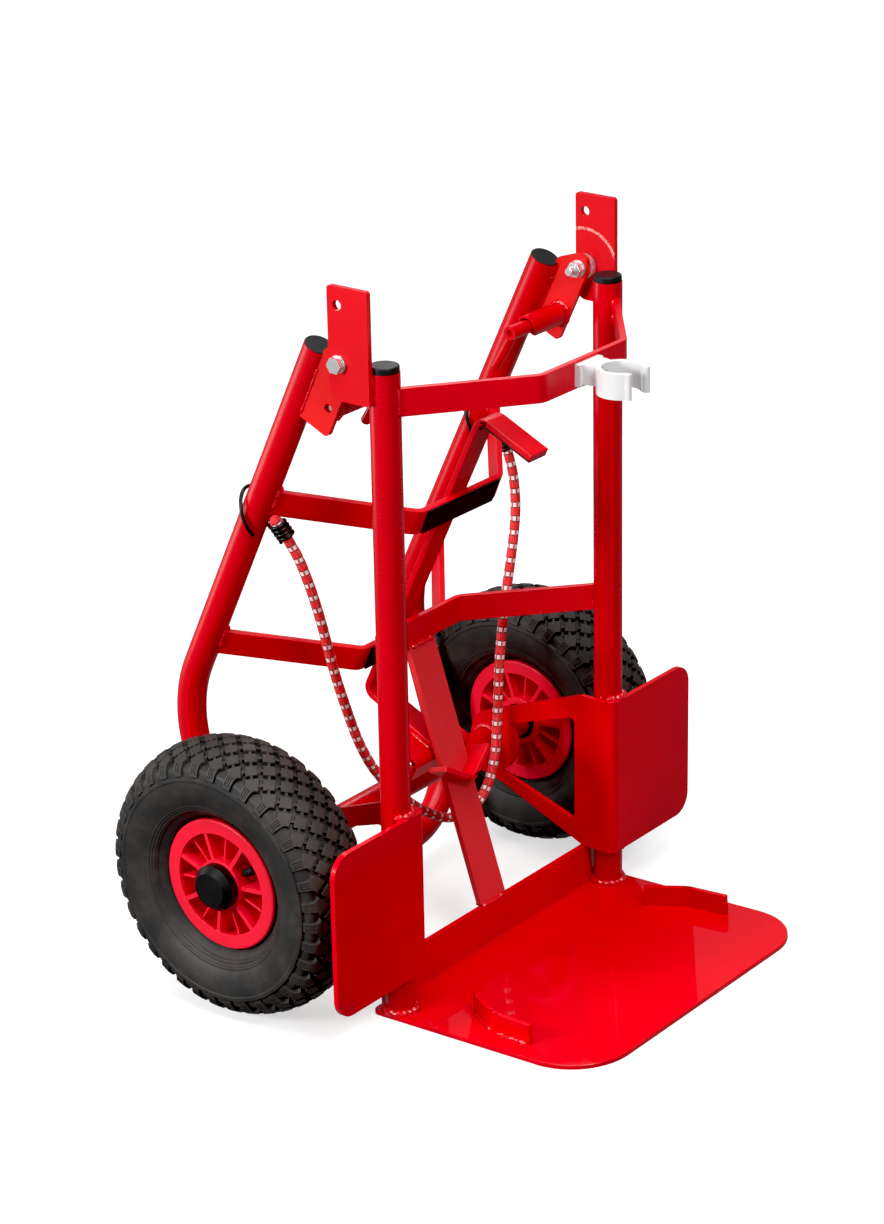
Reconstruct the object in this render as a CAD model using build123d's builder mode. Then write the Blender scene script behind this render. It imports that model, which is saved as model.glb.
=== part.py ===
"""Folding transport cart: a two-wheeled hand cart whose handle bow folds down behind the uprights.

Units are millimetres. X runs along the axle, +Y points to the wheels' rear, +Z is up.
The origin is on the floor under the middle of the cart's box.
"""

import os
from math import atan2, ceil, cos, pi, radians, sin, sqrt, tan

from build123d import *

os.makedirs("parts", exist_ok=True)

# Wheels and axle
WHEEL_D = 260.0
WHEEL_R = WHEEL_D / 2
WHEEL_X = 223.0
TYRE_HALF = 41.0
AXLE_Y = 108.0
LEAN = 2.29
SHAFT_R = 10.0
AXLE_TUBE_R = 13.0
RUN_GAP = 0.05

# Frame tubes and flat bars
TUBE_R = 13.5
TUBE_WALL = 2.0
BAR_H = 25.0
BAR_T = 6.0
PLATE_T = 5.0
UPRIGHT_X = 161.25
UPRIGHT_Y = AXLE_Y - 131.0
UPRIGHT_TOP = 608.5
CAP_RIM = 6.0

# Toe plate, flat on the floor; everything above it leans forward by LEAN degrees about the axle
TOE_T = 4.0
TOE_HALF = 177.5
TOE_FRONT = -238.0
TOE_REAR = AXLE_Y - 105.0
TOE_CORNER = 57.0
FLANGE_HALF = 162.0
FLANGE_BEND = 149.0
FLANGE_Y = AXLE_Y - 110.0
FLANGE_T = 6.0
FLANGE_TOP = 42.2
STOP_H = 19.0

# Crossbars of the chassis: half width of the straight middle, depth and top height
BOW_HALF = 60.0
UPPER_BAR_Y = AXLE_Y - 219.6
UPPER_BAR_TOP = 595.3
LOWER_BAR_Y = AXLE_Y - 33.0
LOWER_BAR_TOP = 314.0
STRUT_W = 37.0
CLIP_SCREW_Z = 582.5
CLIP_SCREW_R = 2.5

# Axle plates
ARM_X = 142.6
WING_Y = AXLE_Y - 149.6
WING_X = 270.0
WING_LOW = 47.0
WING_TOP = 203.0

# Fold: hinge plates, pivot and handle
HINGE_X = UPRIGHT_X + TUBE_R
PIVOT_Y = AXLE_Y - 96.5
PIVOT_Z = 613.5
LOCK_PITCH = 51.0
HANDLE_TILT = 25.3
HANDLE_OFFSET = 34.5
HANDLE_START = 9.4
BOLT_R = 4.0
BRACKET_X = 164.2
REST_BAR_W = -62.0
REST_BAR_HALF = 58.0
UPPER_REST_U = 158.5
LOWER_REST_U = 321.0
REST_DROP = 3.0
SPINE_W = -56.0
HOOK_U = 74.0
FOOT_U = 399.0
PAD_T = 2.2
PAD_HALF = 52.0

# Locks
SLEEVE_R = 10.65
SLEEVE_BORE = 8.2
SLEEVE_END_X = 112.0
PIN_R = 4.0

# Elastic cord and its wire hooks
CORD_R = 4.75
WIRE_R = 1.7
COIL_R = CORD_R + WIRE_R + 0.5
COIL_TURNS = 4
COIL_PITCH = 2 * WIRE_R + 0.9
HOOK_RING_U = 195.0

# Handle frame: x along the axle, y from the pivot towards the handle tubes, z up along the folded tubes
TILT = radians(HANDLE_TILT)
HANDLE = Plane(
    origin=(0, PIVOT_Y, PIVOT_Z),
    x_dir=(1, 0, 0),
    z_dir=(0, -sin(TILT), cos(TILT)),
)
SIDES = (("left", -1), ("right", 1))


def finish(piece, name, lean=LEAN):
    """Lean a finished piece forward about the axle, label it and write it as its own file."""
    piece = piece.rotate(Axis((0, AXLE_Y, WHEEL_R), (1, 0, 0)), lean)
    piece.label = name
    export_step(piece, f"parts/{name}.step")
    return piece


def side_plane(x, y=0.0, z=0.0):
    """Sketch plane square to the axle at x, with sketch x along Y and sketch y along Z."""
    return Plane(origin=(x, y, z), x_dir=(0, 1, 0), z_dir=(1, 0, 0))


def handle_side(x):
    """Sketch plane square to the axle in the handle frame: sketch x along w, sketch y up the tubes."""
    return Plane(
        origin=HANDLE.from_local_coords(Vector(x, 0, 0)),
        x_dir=HANDLE.y_dir,
        z_dir=(1, 0, 0),
    )


def handle_point(x, w, u):
    """Point given by x, the distance w from the pivot line and the distance u down the tubes."""
    return HANDLE.from_local_coords(Vector(x, w, -u))


def tube_along(path, outer, wall):
    """Round tube swept along a path made of lines and arcs."""
    with BuildPart() as tube:
        with BuildSketch(Plane(path @ 0, z_dir=path % 0)):
            Circle(outer)
            Circle(outer - wall, mode=Mode.SUBTRACT)
        sweep(path=path)
    return tube.part


def bowed_bar(plane, ends, middle, half, height, cut_axes):
    """Flat bar bowed as a trapezium in a plane and coped round the two tubes that carry it."""
    with BuildPart() as bar:
        with BuildSketch(plane):
            with BuildLine() as line:
                FilletPolyline(
                    (-UPRIGHT_X, ends), (-half, middle), (half, middle), (UPRIGHT_X, ends), radius=14
                )
            trace(line.wire(), BAR_T)
        extrude(amount=-height)
        for tube_plane in cut_axes:
            with BuildSketch(tube_plane):
                Circle(TUBE_R)
            extrude(amount=2 * height, both=True, mode=Mode.SUBTRACT)
    return bar.part


# Toe plate: a flat plate with rounded front corners and a rear flange
with BuildPart() as toe_plate:
    with BuildSketch():
        with Locations((0, (TOE_FRONT + TOE_REAR) / 2)):
            Rectangle(2 * TOE_HALF, TOE_REAR - TOE_FRONT)
    extrude(amount=TOE_T)
    fillet(toe_plate.edges().filter_by(Axis.Z).group_by(Axis.Y)[0], TOE_CORNER)
    fillet(toe_plate.edges().filter_by(Axis.Z).group_by(Axis.Y)[-1], 8)
    fillet(toe_plate.faces().sort_by(Axis.Z)[-1].edges(), 0.8)
    with BuildSketch():
        with BuildLine() as line:
            FilletPolyline(
                (-FLANGE_HALF, FLANGE_Y + 3),
                (-FLANGE_BEND, FLANGE_Y),
                (FLANGE_BEND, FLANGE_Y),
                (FLANGE_HALF, FLANGE_Y + 3),
                radius=10,
            )
        trace(line.wire(), FLANGE_T)
    extrude(amount=FLANGE_TOP)
finish(toe_plate.part, "toe_plate", lean=0)

# Toe stops: bars bent in plan, standing on the toe plate
STOP_Y = AXLE_Y - 194.0
for side, sign in SIDES:
    with BuildPart() as stop:
        with BuildSketch(Plane.XY.offset(TOE_T)):
            with BuildLine() as line:
                FilletPolyline(
                    (sign * 132, STOP_Y + 5), (sign * 152, STOP_Y - 31), (sign * 155, STOP_Y - 73), radius=12
                )
            trace(line.wire(), PLATE_T)
        extrude(amount=STOP_H)
    finish(stop.part, f"{side}_toe_stop", lean=0)

# Uprights and their caps
FLOOR = Plane(
    origin=(0, AXLE_Y, WHEEL_R), x_dir=(1, 0, 0), z_dir=(0, sin(radians(LEAN)), cos(radians(LEAN)))
).offset(-WHEEL_R)
caps = []
for side, sign in SIDES:
    with BuildPart() as upright:
        with BuildSketch(Plane(origin=(sign * UPRIGHT_X, UPRIGHT_Y, 0))):
            Circle(TUBE_R)
            Circle(TUBE_R - TUBE_WALL, mode=Mode.SUBTRACT)
        extrude(amount=UPRIGHT_TOP)
        with BuildSketch(FLOOR.offset(TOE_T)):
            Rectangle(4 * UPRIGHT_X, 4 * UPRIGHT_X)
        extrude(amount=-WHEEL_R, mode=Mode.SUBTRACT)
    finish(upright.part, f"{side}_upright")
    with BuildPart() as cap:
        with BuildSketch(Plane(origin=(sign * UPRIGHT_X, UPRIGHT_Y, UPRIGHT_TOP))):
            Circle(TUBE_R - 0.6)
        extrude(amount=CAP_RIM)
        fillet(cap.faces().sort_by(Axis.Z)[-1].edges(), 1.5)
        with BuildSketch(Plane(origin=(sign * UPRIGHT_X, UPRIGHT_Y, UPRIGHT_TOP))):
            Circle(TUBE_R - TUBE_WALL - 0.1)
        extrude(amount=-14)
    caps.append(cap.part)
finish(Compound(children=caps), "upright_caps")

# Crossbars of the chassis
uprights = [Plane(origin=(sign * UPRIGHT_X, UPRIGHT_Y, 0)) for _, sign in SIDES]
for name, middle, top, lean in (
    ("upper_front_bar", UPPER_BAR_Y, UPPER_BAR_TOP, -9),
    ("lower_front_bar", LOWER_BAR_Y, LOWER_BAR_TOP, 7),
):
    posts = [plane.offset(top - BAR_H / 2) for plane in uprights]
    level = Plane.XY.offset(top)
    bar = bowed_bar(level, UPRIGHT_Y + lean, middle, BOW_HALF, BAR_H, posts)
    if name == "upper_front_bar":
        with BuildPart() as drilled:
            add(bar)
            with BuildSketch(Plane(origin=(0, middle, CLIP_SCREW_Z), z_dir=(0, 1, 0))):
                Circle(CLIP_SCREW_R)
            extrude(amount=BAR_T, both=True, mode=Mode.SUBTRACT)
        bar = drilled.part
    finish(bar, name)

# Centre strut: from under the lower bar down to the toe plate's flange
STRUT_TOP_Z = LOWER_BAR_TOP - BAR_H
STRUT_TOP_Y = LOWER_BAR_Y - BAR_T / 2
STRUT_LOW_Y = AXLE_Y - 114.5
STRUT_LOW_Z = 48.0
with BuildPart() as strut:
    with BuildSketch(side_plane(0)):
        Polygon(
            (STRUT_TOP_Y, STRUT_TOP_Z),
            (STRUT_TOP_Y + BAR_T, STRUT_TOP_Z),
            (STRUT_LOW_Y + BAR_T, STRUT_LOW_Z),
            (STRUT_LOW_Y, STRUT_LOW_Z),
            align=None,
        )
    extrude(amount=STRUT_W / 2, both=True)
finish(strut.part, "centre_strut")

# Pole cradle: a V of flat bar standing square to the strut's front face and let in round its sides
STRUT_LEAN = atan2(STRUT_TOP_Y - STRUT_LOW_Y, STRUT_TOP_Z - STRUT_LOW_Z)
CRADLE_Z = 160.6
CRADLE_DEPTH = 17.4
CRADLE_LET_IN = 4.0
CRADLE_HALF = 33.5
CRADLE_RISE = 21.0
cradle_y = STRUT_LOW_Y + (CRADLE_Z - STRUT_LOW_Z) * tan(STRUT_LEAN)
cradle_plane = Plane(
    origin=(0, cradle_y, CRADLE_Z),
    x_dir=(1, 0, 0),
    z_dir=(0, -cos(STRUT_LEAN), sin(STRUT_LEAN)),
)
with BuildPart() as cradle:
    with BuildSketch(cradle_plane):
        with BuildLine() as line:
            FilletPolyline((-CRADLE_HALF, CRADLE_RISE), (0, 0), (CRADLE_HALF, CRADLE_RISE), radius=7)
        trace(line.wire(), PLATE_T)
    extrude(amount=CRADLE_DEPTH)
    extrude(cradle.faces().sort_by(Axis.Y)[-1], amount=CRADLE_LET_IN)
    with BuildSketch(cradle_plane):
        Rectangle(STRUT_W, 4 * CRADLE_RISE)
    extrude(amount=-2 * CRADLE_LET_IN, mode=Mode.SUBTRACT)
finish(cradle.part, "pole_cradle")

# Axle plates: an arm from the upright back to the axle, bent into a wing across the front of the tube
ARM_REAR = 18.0
for side, sign in SIDES:
    arm_mid = sign * (ARM_X + PLATE_T / 2)
    wing_mid = WING_Y + PLATE_T / 2
    with BuildPart() as plate:
        with BuildSketch(Plane.XY.offset(WING_LOW)):
            with BuildLine() as line:
                FilletPolyline(
                    (sign * WING_X, wing_mid), (arm_mid, wing_mid), (arm_mid, AXLE_Y + ARM_REAR), radius=5.5
                )
            trace(line.wire(), PLATE_T)
        extrude(amount=WING_TOP - WING_LOW)
        outer = plate.edges().filter_by(Axis.Y).sort_by(lambda e: -sign * e.center().X)[:2]
        fillet(outer, 20)
        with BuildSketch(side_plane(sign * ARM_X, AXLE_Y)):
            with Locations((-46, WHEEL_R)):
                Rectangle(140, 180)
            with BuildLine():
                FilletPolyline(
                    (-130, WING_LOW),
                    (-112, WING_LOW + 1),
                    (-20, 88),
                    (ARM_REAR, 98),
                    (ARM_REAR, 152),
                    (-19, 167),
                    (-112, WING_TOP),
                    (-130, WING_TOP),
                    radius=(4, 8, 16, 22, 14, 4),
                )
                Line((-130, WING_TOP), (-130, WING_LOW))
            make_face(mode=Mode.SUBTRACT)
            with BuildLine() as window:
                Polyline((-28, 153), (-105, 179), (-105, 71.5), (-17, 100.5))
                ThreePointArc((-17, 100.5), (-36, 128), (-28, 153))
            make_face()
            fillet([v for v in window.vertices() if v.X < -100], 5)
            with Locations((0, WHEEL_R)):
                Circle(SHAFT_R + RUN_GAP)
        extrude(amount=sign * PLATE_T, mode=Mode.SUBTRACT)
    finish(plate.part, f"{side}_axle_plate")

# Axle: a tube between the plates, the shaft through it, then collar, spacer and washer on each side
HUB_HALF = 28.0
HUB_IN_X = WHEEL_X - HUB_HALF
COLLAR_X = ARM_X + PLATE_T
COLLAR_L = 20.0
WASHER_T = 2.5
SHAFT_END_X = WHEEL_X + HUB_HALF + 9


def ring(x0, x1, outer, inner, y=AXLE_Y, z=WHEEL_R):
    """Plain ring along the axle direction from x0 to x1."""
    with BuildPart() as body:
        with BuildSketch(side_plane(x0, y, z)):
            Circle(outer)
            if inner:
                Circle(inner, mode=Mode.SUBTRACT)
        extrude(amount=x1 - x0)
    return body.part


finish(ring(-ARM_X, ARM_X, AXLE_TUBE_R, SHAFT_R + RUN_GAP), "axle_tube")
finish(ring(-SHAFT_END_X, SHAFT_END_X, SHAFT_R, 0), "axle_shaft")
collars = []
washers = []
for _, sign in SIDES:
    collars.append(ring(sign * COLLAR_X, sign * (COLLAR_X + COLLAR_L), 20, SHAFT_R + RUN_GAP))
    spacer_end = HUB_IN_X - 0.3 - WASHER_T
    collars.append(ring(sign * (COLLAR_X + COLLAR_L), sign * spacer_end, 14, SHAFT_R + RUN_GAP))
    washers.append(ring(sign * spacer_end, sign * (spacer_end + WASHER_T), 17, SHAFT_R + RUN_GAP))
    outer_face = WHEEL_X + HUB_HALF + 0.3
    washers.append(ring(sign * outer_face, sign * (outer_face + WASHER_T), 16, SHAFT_R + RUN_GAP))
finish(Compound(children=collars), "axle_collars")
finish(Compound(children=washers), "axle_washers")

# Hinge plates: upright flat plates on the tubes' outer sides, with the pivot hole and the lock hole
for side, sign in SIDES:
    with BuildPart() as hinge:
        with BuildSketch(side_plane(sign * HINGE_X, UPRIGHT_Y)):
            with BuildLine():
                FilletPolyline(
                    (2, 630), (2, 581), (45, 581), (45, 681), (2, 681), (2, 640), radius=(2, 12, 3, 3)
                )
                Line((2, 640), (2, 630))
            make_face()
            with Locations((PIVOT_Y - UPRIGHT_Y, PIVOT_Z)):
                Circle(BOLT_R + RUN_GAP, mode=Mode.SUBTRACT)
            with Locations((PIVOT_Y - UPRIGHT_Y, PIVOT_Z + LOCK_PITCH)):
                Circle(PIN_R + 0.6, mode=Mode.SUBTRACT)
        extrude(amount=sign * PLATE_T)
    finish(hinge.part, f"{side}_hinge_plate")

# Pivot hardware: a bolt from outside, washers on both sides of the bracket, nut inside
BRACKET_OUT_X = BRACKET_X + PLATE_T
SMALL_WASHER_T = 1.6
HEAD_H = 5.5
NUT_H = 6.5
HEX_R = 13.0 / sqrt(3)
TIP_L = 8.0
SIDE_GAP = 0.1
washer_in = BRACKET_X - SIDE_GAP
nut_face = washer_in - SMALL_WASHER_T
head_face = HINGE_X + PLATE_T + SMALL_WASHER_T
bolts = []
nuts = []
pivot_washers = []
for _, sign in SIDES:
    with BuildPart() as bolt:
        with BuildSketch(side_plane(sign * head_face, PIVOT_Y, PIVOT_Z)):
            RegularPolygon(HEX_R, 6)
        extrude(amount=sign * HEAD_H)
        with BuildSketch(side_plane(sign * head_face, PIVOT_Y, PIVOT_Z)):
            Circle(BOLT_R)
        extrude(amount=-sign * (head_face - nut_face + NUT_H + TIP_L))
        chamfer(bolt.edges().filter_by(GeomType.CIRCLE).sort_by(lambda e: sign * e.center().X)[0], 0.8)
    bolts.append(bolt.part)
    with BuildPart() as nut:
        with BuildSketch(side_plane(sign * nut_face, PIVOT_Y, PIVOT_Z)):
            RegularPolygon(HEX_R, 6)
            Circle(BOLT_R, mode=Mode.SUBTRACT)
        extrude(amount=-sign * NUT_H)
    nuts.append(nut.part)
    gap_mid = (BRACKET_OUT_X + HINGE_X) / 2
    for x0, x1, outer in (
        (washer_in, nut_face, 8),
        (BRACKET_OUT_X + SIDE_GAP, gap_mid, 12),
        (gap_mid, HINGE_X, 12),
        (HINGE_X + PLATE_T, head_face, 8),
    ):
        pivot_washers.append(ring(sign * x0, sign * x1, outer, BOLT_R, PIVOT_Y, PIVOT_Z))
finish(Compound(children=bolts), "pivot_bolts")
finish(Compound(children=nuts), "pivot_nuts")
finish(Compound(children=pivot_washers), "pivot_washers")

# Pipe clip on the upper front bar: a base block and an open ring with flared lips, held by one screw
CLIP_LOW = 570.0
CLIP_H = 23.0
CLIP_R = 19.3
CLIP_WALL = 4.6
CLIP_MOUTH = radians(52)
CLIP_HEAD_R = 4.8
CLIP_BEAD_R = 3.0
CLIP_BEAD_OUT = 1.6
CLIP_BASE_T = 5.5
CLIP_REACH = 36.2
clip_face = UPPER_BAR_Y - BAR_T / 2
clip_y = clip_face - CLIP_REACH
mouth_x = 3 * CLIP_R
mouth_y = -mouth_x * tan(CLIP_MOUTH)
with BuildPart() as clip:
    with BuildSketch(Plane.XY.offset(CLIP_LOW)):
        with Locations((0, clip_y)):
            Circle(CLIP_R + CLIP_WALL / 2)
            Circle(CLIP_R - CLIP_WALL / 2, mode=Mode.SUBTRACT)
            Polygon((0, 0), (mouth_x, mouth_y), (-mouth_x, mouth_y), align=None, mode=Mode.SUBTRACT)
        bead_x = CLIP_R * cos(CLIP_MOUTH) + CLIP_BEAD_OUT
        bead_y = clip_y - CLIP_R * sin(CLIP_MOUTH) - CLIP_BEAD_OUT
        with Locations((-bead_x, bead_y), (bead_x, bead_y)):
            Circle(CLIP_BEAD_R)
    extrude(amount=CLIP_H)
    with BuildSketch(Plane.XY.offset(CLIP_LOW + 5)):
        base_y = clip_face - CLIP_BASE_T
        root_y = clip_y + CLIP_R - CLIP_WALL / 4
        Polygon((-14, base_y), (14, base_y), (11, root_y), (-11, root_y), align=None)
    extrude(amount=CLIP_H - 5)
    with BuildSketch(Plane.XY.offset(CLIP_LOW + 3)):
        with Locations((0, clip_face - CLIP_BASE_T / 2)):
            Rectangle(34, CLIP_BASE_T)
    extrude(amount=CLIP_H - 3)
    with BuildSketch(Plane(origin=(0, clip_face, CLIP_SCREW_Z), z_dir=(0, -1, 0))):
        Circle(CLIP_SCREW_R)
    extrude(amount=clip_face - clip_y, mode=Mode.SUBTRACT)
    seat = clip_y + CLIP_R + CLIP_WALL / 2 + 1
    with BuildSketch(Plane(origin=(0, seat, CLIP_SCREW_Z), z_dir=(0, -1, 0))):
        Circle(CLIP_HEAD_R)
    extrude(amount=seat - clip_y, mode=Mode.SUBTRACT)
finish(clip.part, "pipe_clip")
with BuildPart() as screw:
    with BuildSketch(Plane(origin=(0, seat, CLIP_SCREW_Z), z_dir=(0, -1, 0))):
        Circle(CLIP_HEAD_R - 0.3)
    extrude(amount=3.5)
    fillet(screw.faces().sort_by(Axis.Y)[0].edges(), 1.2)
    with BuildSketch(Plane(origin=(0, seat, CLIP_SCREW_Z), z_dir=(0, 1, 0))):
        Circle(CLIP_SCREW_R)
    extrude(amount=clip_face + BAR_T - seat)
finish(screw.part, "clip_screw")

# Handle bow: two tubes bent forward, joined by the grip bar
BEND_U = 418.5
BEND_R = 119.0
GRIP_W = -116.2
GRIP_U = 585.0
GRIP_R = 81.0
TUBE_U = HANDLE_START + 1.0
with BuildLine() as bow_line:
    FilletPolyline(
        handle_point(-UPRIGHT_X, HANDLE_OFFSET, TUBE_U),
        handle_point(-UPRIGHT_X, HANDLE_OFFSET, BEND_U),
        handle_point(-UPRIGHT_X, GRIP_W, GRIP_U),
        handle_point(UPRIGHT_X, GRIP_W, GRIP_U),
        handle_point(UPRIGHT_X, HANDLE_OFFSET, BEND_U),
        handle_point(UPRIGHT_X, HANDLE_OFFSET, TUBE_U),
        radius=(BEND_R, GRIP_R, GRIP_R, BEND_R),
    )
finish(tube_along(bow_line.wire(), TUBE_R, TUBE_WALL), "handle_bow")
caps = []
for _, sign in SIDES:
    top = Plane(
        origin=handle_point(sign * UPRIGHT_X, HANDLE_OFFSET, TUBE_U), x_dir=(1, 0, 0), z_dir=HANDLE.z_dir
    )
    with BuildPart() as cap:
        with BuildSketch(top):
            Circle(TUBE_R - 0.4)
        extrude(amount=TUBE_U - HANDLE_START)
        fillet(cap.faces().sort_by(Axis.Z)[-1].edges(), 0.5)
        with BuildSketch(top):
            Circle(TUBE_R - TUBE_WALL - 0.1)
        extrude(amount=-14)
    caps.append(cap.part)
finish(Compound(children=caps), "handle_caps")

# Pivot brackets: plates coped to the handle tubes, with the pivot hole and the lock hole
for side, sign in SIDES:
    with BuildPart() as bracket:
        with BuildSketch(handle_side(sign * BRACKET_X)):
            with BuildLine():
                FilletPolyline(
                    (-10, -10), (-10, 1), (-4, 13), (6, 13), (24, -4), (24, -76), (-10, -76), (-10, -20),
                    radius=(4, 4, 4, 2, 1, 4.5),
                )
                Line((-10, -20), (-10, -10))
            make_face()
            Circle(BOLT_R + RUN_GAP, mode=Mode.SUBTRACT)
            with Locations((0, -LOCK_PITCH)):
                Circle(PIN_R + RUN_GAP, mode=Mode.SUBTRACT)
        extrude(amount=sign * PLATE_T)
        with BuildSketch(
            Plane(
                origin=handle_point(sign * UPRIGHT_X, HANDLE_OFFSET, HANDLE_START),
                x_dir=(1, 0, 0),
                z_dir=-HANDLE.z_dir,
            )
        ):
            Circle(TUBE_R)
        extrude(amount=100, mode=Mode.SUBTRACT)
    finish(bracket.part, f"{side}_bracket")

# Rest bars across the handle, their rubber pads, the spine with its hook and the foot plate
for name, u in (("upper_rest", UPPER_REST_U), ("lower_rest", LOWER_REST_U)):
    drop = radians(REST_DROP)
    rest_plane = Plane(
        origin=handle_point(0, REST_BAR_W, u),
        x_dir=(1, 0, 0),
        z_dir=HANDLE.z_dir * cos(drop) + HANDLE.y_dir * sin(drop),
    )
    posts = [
        Plane(
            origin=handle_point(sign * UPRIGHT_X, HANDLE_OFFSET, u + BAR_H / 2),
            x_dir=(1, 0, 0),
            z_dir=HANDLE.z_dir,
        )
        for _, sign in SIDES
    ]
    bar = bowed_bar(rest_plane, HANDLE_OFFSET - REST_BAR_W - 9, 0, REST_BAR_HALF, BAR_H, posts)
    finish(bar, f"{name}_bar")
    with BuildPart() as pad:
        with BuildSketch(rest_plane):
            with Locations((0, -BAR_T / 2 - PAD_T / 2)):
                Rectangle(2 * PAD_HALF, PAD_T)
        extrude(amount=-BAR_H)
    finish(pad.part, f"{name}_pad")

HOOK_TIP_W = -118.0
FOOT_TIP_W = -145.0
with BuildPart() as spine:
    with BuildSketch(handle_side(0)):
        with BuildLine() as line:
            FilletPolyline(
                (HOOK_TIP_W, -HOOK_U),
                (SPINE_W, -HOOK_U),
                (SPINE_W, -FOOT_U),
                (FOOT_TIP_W, -FOOT_U),
                radius=10,
            )
        trace(line.wire(), BAR_T)
    extrude(amount=BAR_H / 2, both=True)
finish(spine.part, "spine_bar")
pad_u = HOOK_U + BAR_T / 2 + PAD_T / 2
with BuildPart() as hook_pad:
    with BuildSketch(handle_side(0)):
        with BuildLine() as line:
            Line((HOOK_TIP_W, -pad_u), (SPINE_W - 10, -pad_u))
        trace(line.wire(), PAD_T)
    extrude(amount=BAR_H / 2, both=True)
finish(hook_pad.part, "hook_pad")

FOOT_HALF = 40.0
FOOT_FRONT = -150.0
FOOT_BACK = -114.0
FOOT_LIP = 22.0
foot_top = FOOT_U + BAR_T / 2
with BuildPart() as foot_plate:
    with BuildSketch(handle_side(0)):
        with BuildLine() as line:
            FilletPolyline(
                (FOOT_BACK, -foot_top - PLATE_T / 2),
                (FOOT_FRONT + PLATE_T / 2, -foot_top - PLATE_T / 2),
                (FOOT_FRONT + PLATE_T / 2, -foot_top - FOOT_LIP),
                radius=PLATE_T,
            )
        trace(line.wire(), PLATE_T)
    extrude(amount=FOOT_HALF, both=True)
finish(foot_plate.part, "foot_plate")

# Locks: a sleeve on each bracket with a sliding pin, a lever on its inner end and a spring inside
LOCK = handle_point(0, 0, LOCK_PITCH)
STOP_RING_X = 132.0
STOP_RING_T = 3.0
PIN_COLLAR_X = 146.0
PIN_COLLAR_T = 4.0
PIN_HEAD_END_X = 118.0
ROD_R = 6.6
ROD_END_X = 88.0
ROD_HOLE_R = 3.2
FINGER_X = 94.0
FINGER_R = 4.6
FINGER_L = 43.5
FINGER_KICK = 4.0
PIN_END_X = BRACKET_OUT_X - 4.0
for side, sign in SIDES:
    with BuildPart() as sleeve:
        with BuildSketch(side_plane(sign * SLEEVE_END_X, LOCK.Y, LOCK.Z)):
            Circle(SLEEVE_R)
            Circle(SLEEVE_BORE, mode=Mode.SUBTRACT)
        extrude(amount=sign * (BRACKET_X - SLEEVE_END_X))
        with BuildSketch(side_plane(sign * STOP_RING_X, LOCK.Y, LOCK.Z)):
            Circle(SLEEVE_BORE + 0.5)
            Circle(PIN_R + 0.8, mode=Mode.SUBTRACT)
        extrude(amount=sign * STOP_RING_T)
        with BuildSketch(Plane(origin=LOCK, x_dir=(1, 0, 0), z_dir=-HANDLE.y_dir)):
            ramp_x = sign * SLEEVE_END_X
            Polygon((ramp_x, 2), (ramp_x, -12), (ramp_x + sign * 14, -12), align=None)
        extrude(amount=12, both=True, mode=Mode.SUBTRACT)
    finish(sleeve.part, f"{side}_lock_sleeve")
    with BuildPart() as pin:
        for x0, x1, radius in (
            (PIN_HEAD_END_X, PIN_COLLAR_X, PIN_R + 0.4),
            (PIN_COLLAR_X, PIN_COLLAR_X + PIN_COLLAR_T, SLEEVE_BORE - 0.4),
            (PIN_COLLAR_X + PIN_COLLAR_T, PIN_END_X, PIN_R),
        ):
            with BuildSketch(side_plane(sign * x0, LOCK.Y, LOCK.Z)):
                Circle(radius)
            extrude(amount=sign * (x1 - x0))
        chamfer(pin.edges().filter_by(GeomType.CIRCLE).sort_by(lambda e: -sign * e.center().X)[0], 1)
    finish(pin.part, f"{side}_lock_pin")
    with BuildPart() as lever:
        with BuildLine(handle_side(sign * FINGER_X)) as finger:
            ThreePointArc(
                (0, -LOCK_PITCH),
                (0.3 * FINGER_KICK, -LOCK_PITCH - FINGER_L / 2),
                (FINGER_KICK, -LOCK_PITCH - FINGER_L),
            )
        with BuildSketch(Plane(finger.wire() @ 0, z_dir=finger.wire() % 0)):
            Circle(FINGER_R)
        sweep()
        fillet(lever.faces().sort_by(Axis.Z)[0].edges(), 0.7 * FINGER_R)
        with BuildSketch(side_plane(sign * ROD_END_X, LOCK.Y, LOCK.Z)):
            Circle(ROD_R)
        extrude(amount=sign * (PIN_HEAD_END_X - ROD_END_X))
        with BuildSketch(side_plane(sign * ROD_END_X, LOCK.Y, LOCK.Z)):
            Circle(ROD_HOLE_R)
        extrude(amount=sign * ROD_HOLE_R, mode=Mode.SUBTRACT)
    finish(lever.part, f"{side}_lock_lever")


def biarc_wire(nodes):
    """Smooth chain of tangent arcs through points with given directions; two arcs per step."""
    with BuildLine() as chain:
        for (p0, t0), (p1, t1) in zip(nodes, nodes[1:]):
            v = p1 - p0
            t = t0 + t1
            spread = 2 * (1 - t0.dot(t1))
            if spread < 1e-6:
                reach = v.dot(v) / (4 * v.dot(t1))
            else:
                vt = v.dot(t)
                reach = (-vt + sqrt(vt * vt + spread * v.dot(v))) / spread
            middle = (p0 + p1 + (t0 - t1) * reach) * 0.5
            first = TangentArc(p0, middle, tangent=t0)
            TangentArc(middle, p1, tangent=first % 1)
    return chain.wire()


def helix_nodes(plane, radius, pitch, turns, hand):
    """Quarter-turn points of a helix along the plane's normal, with their directions."""
    nodes = []
    climb = pitch / (2 * pi)
    for step in range(4 * turns + 1):
        angle = step * pi / 2
        point = Vector(radius * cos(angle), hand * radius * sin(angle), climb * angle)
        along = Vector(-radius * sin(angle), hand * radius * cos(angle), climb).normalized()
        origin = plane.from_local_coords(Vector(0, 0, 0))
        nodes.append((plane.from_local_coords(point), plane.from_local_coords(along) - origin))
    return nodes


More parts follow.
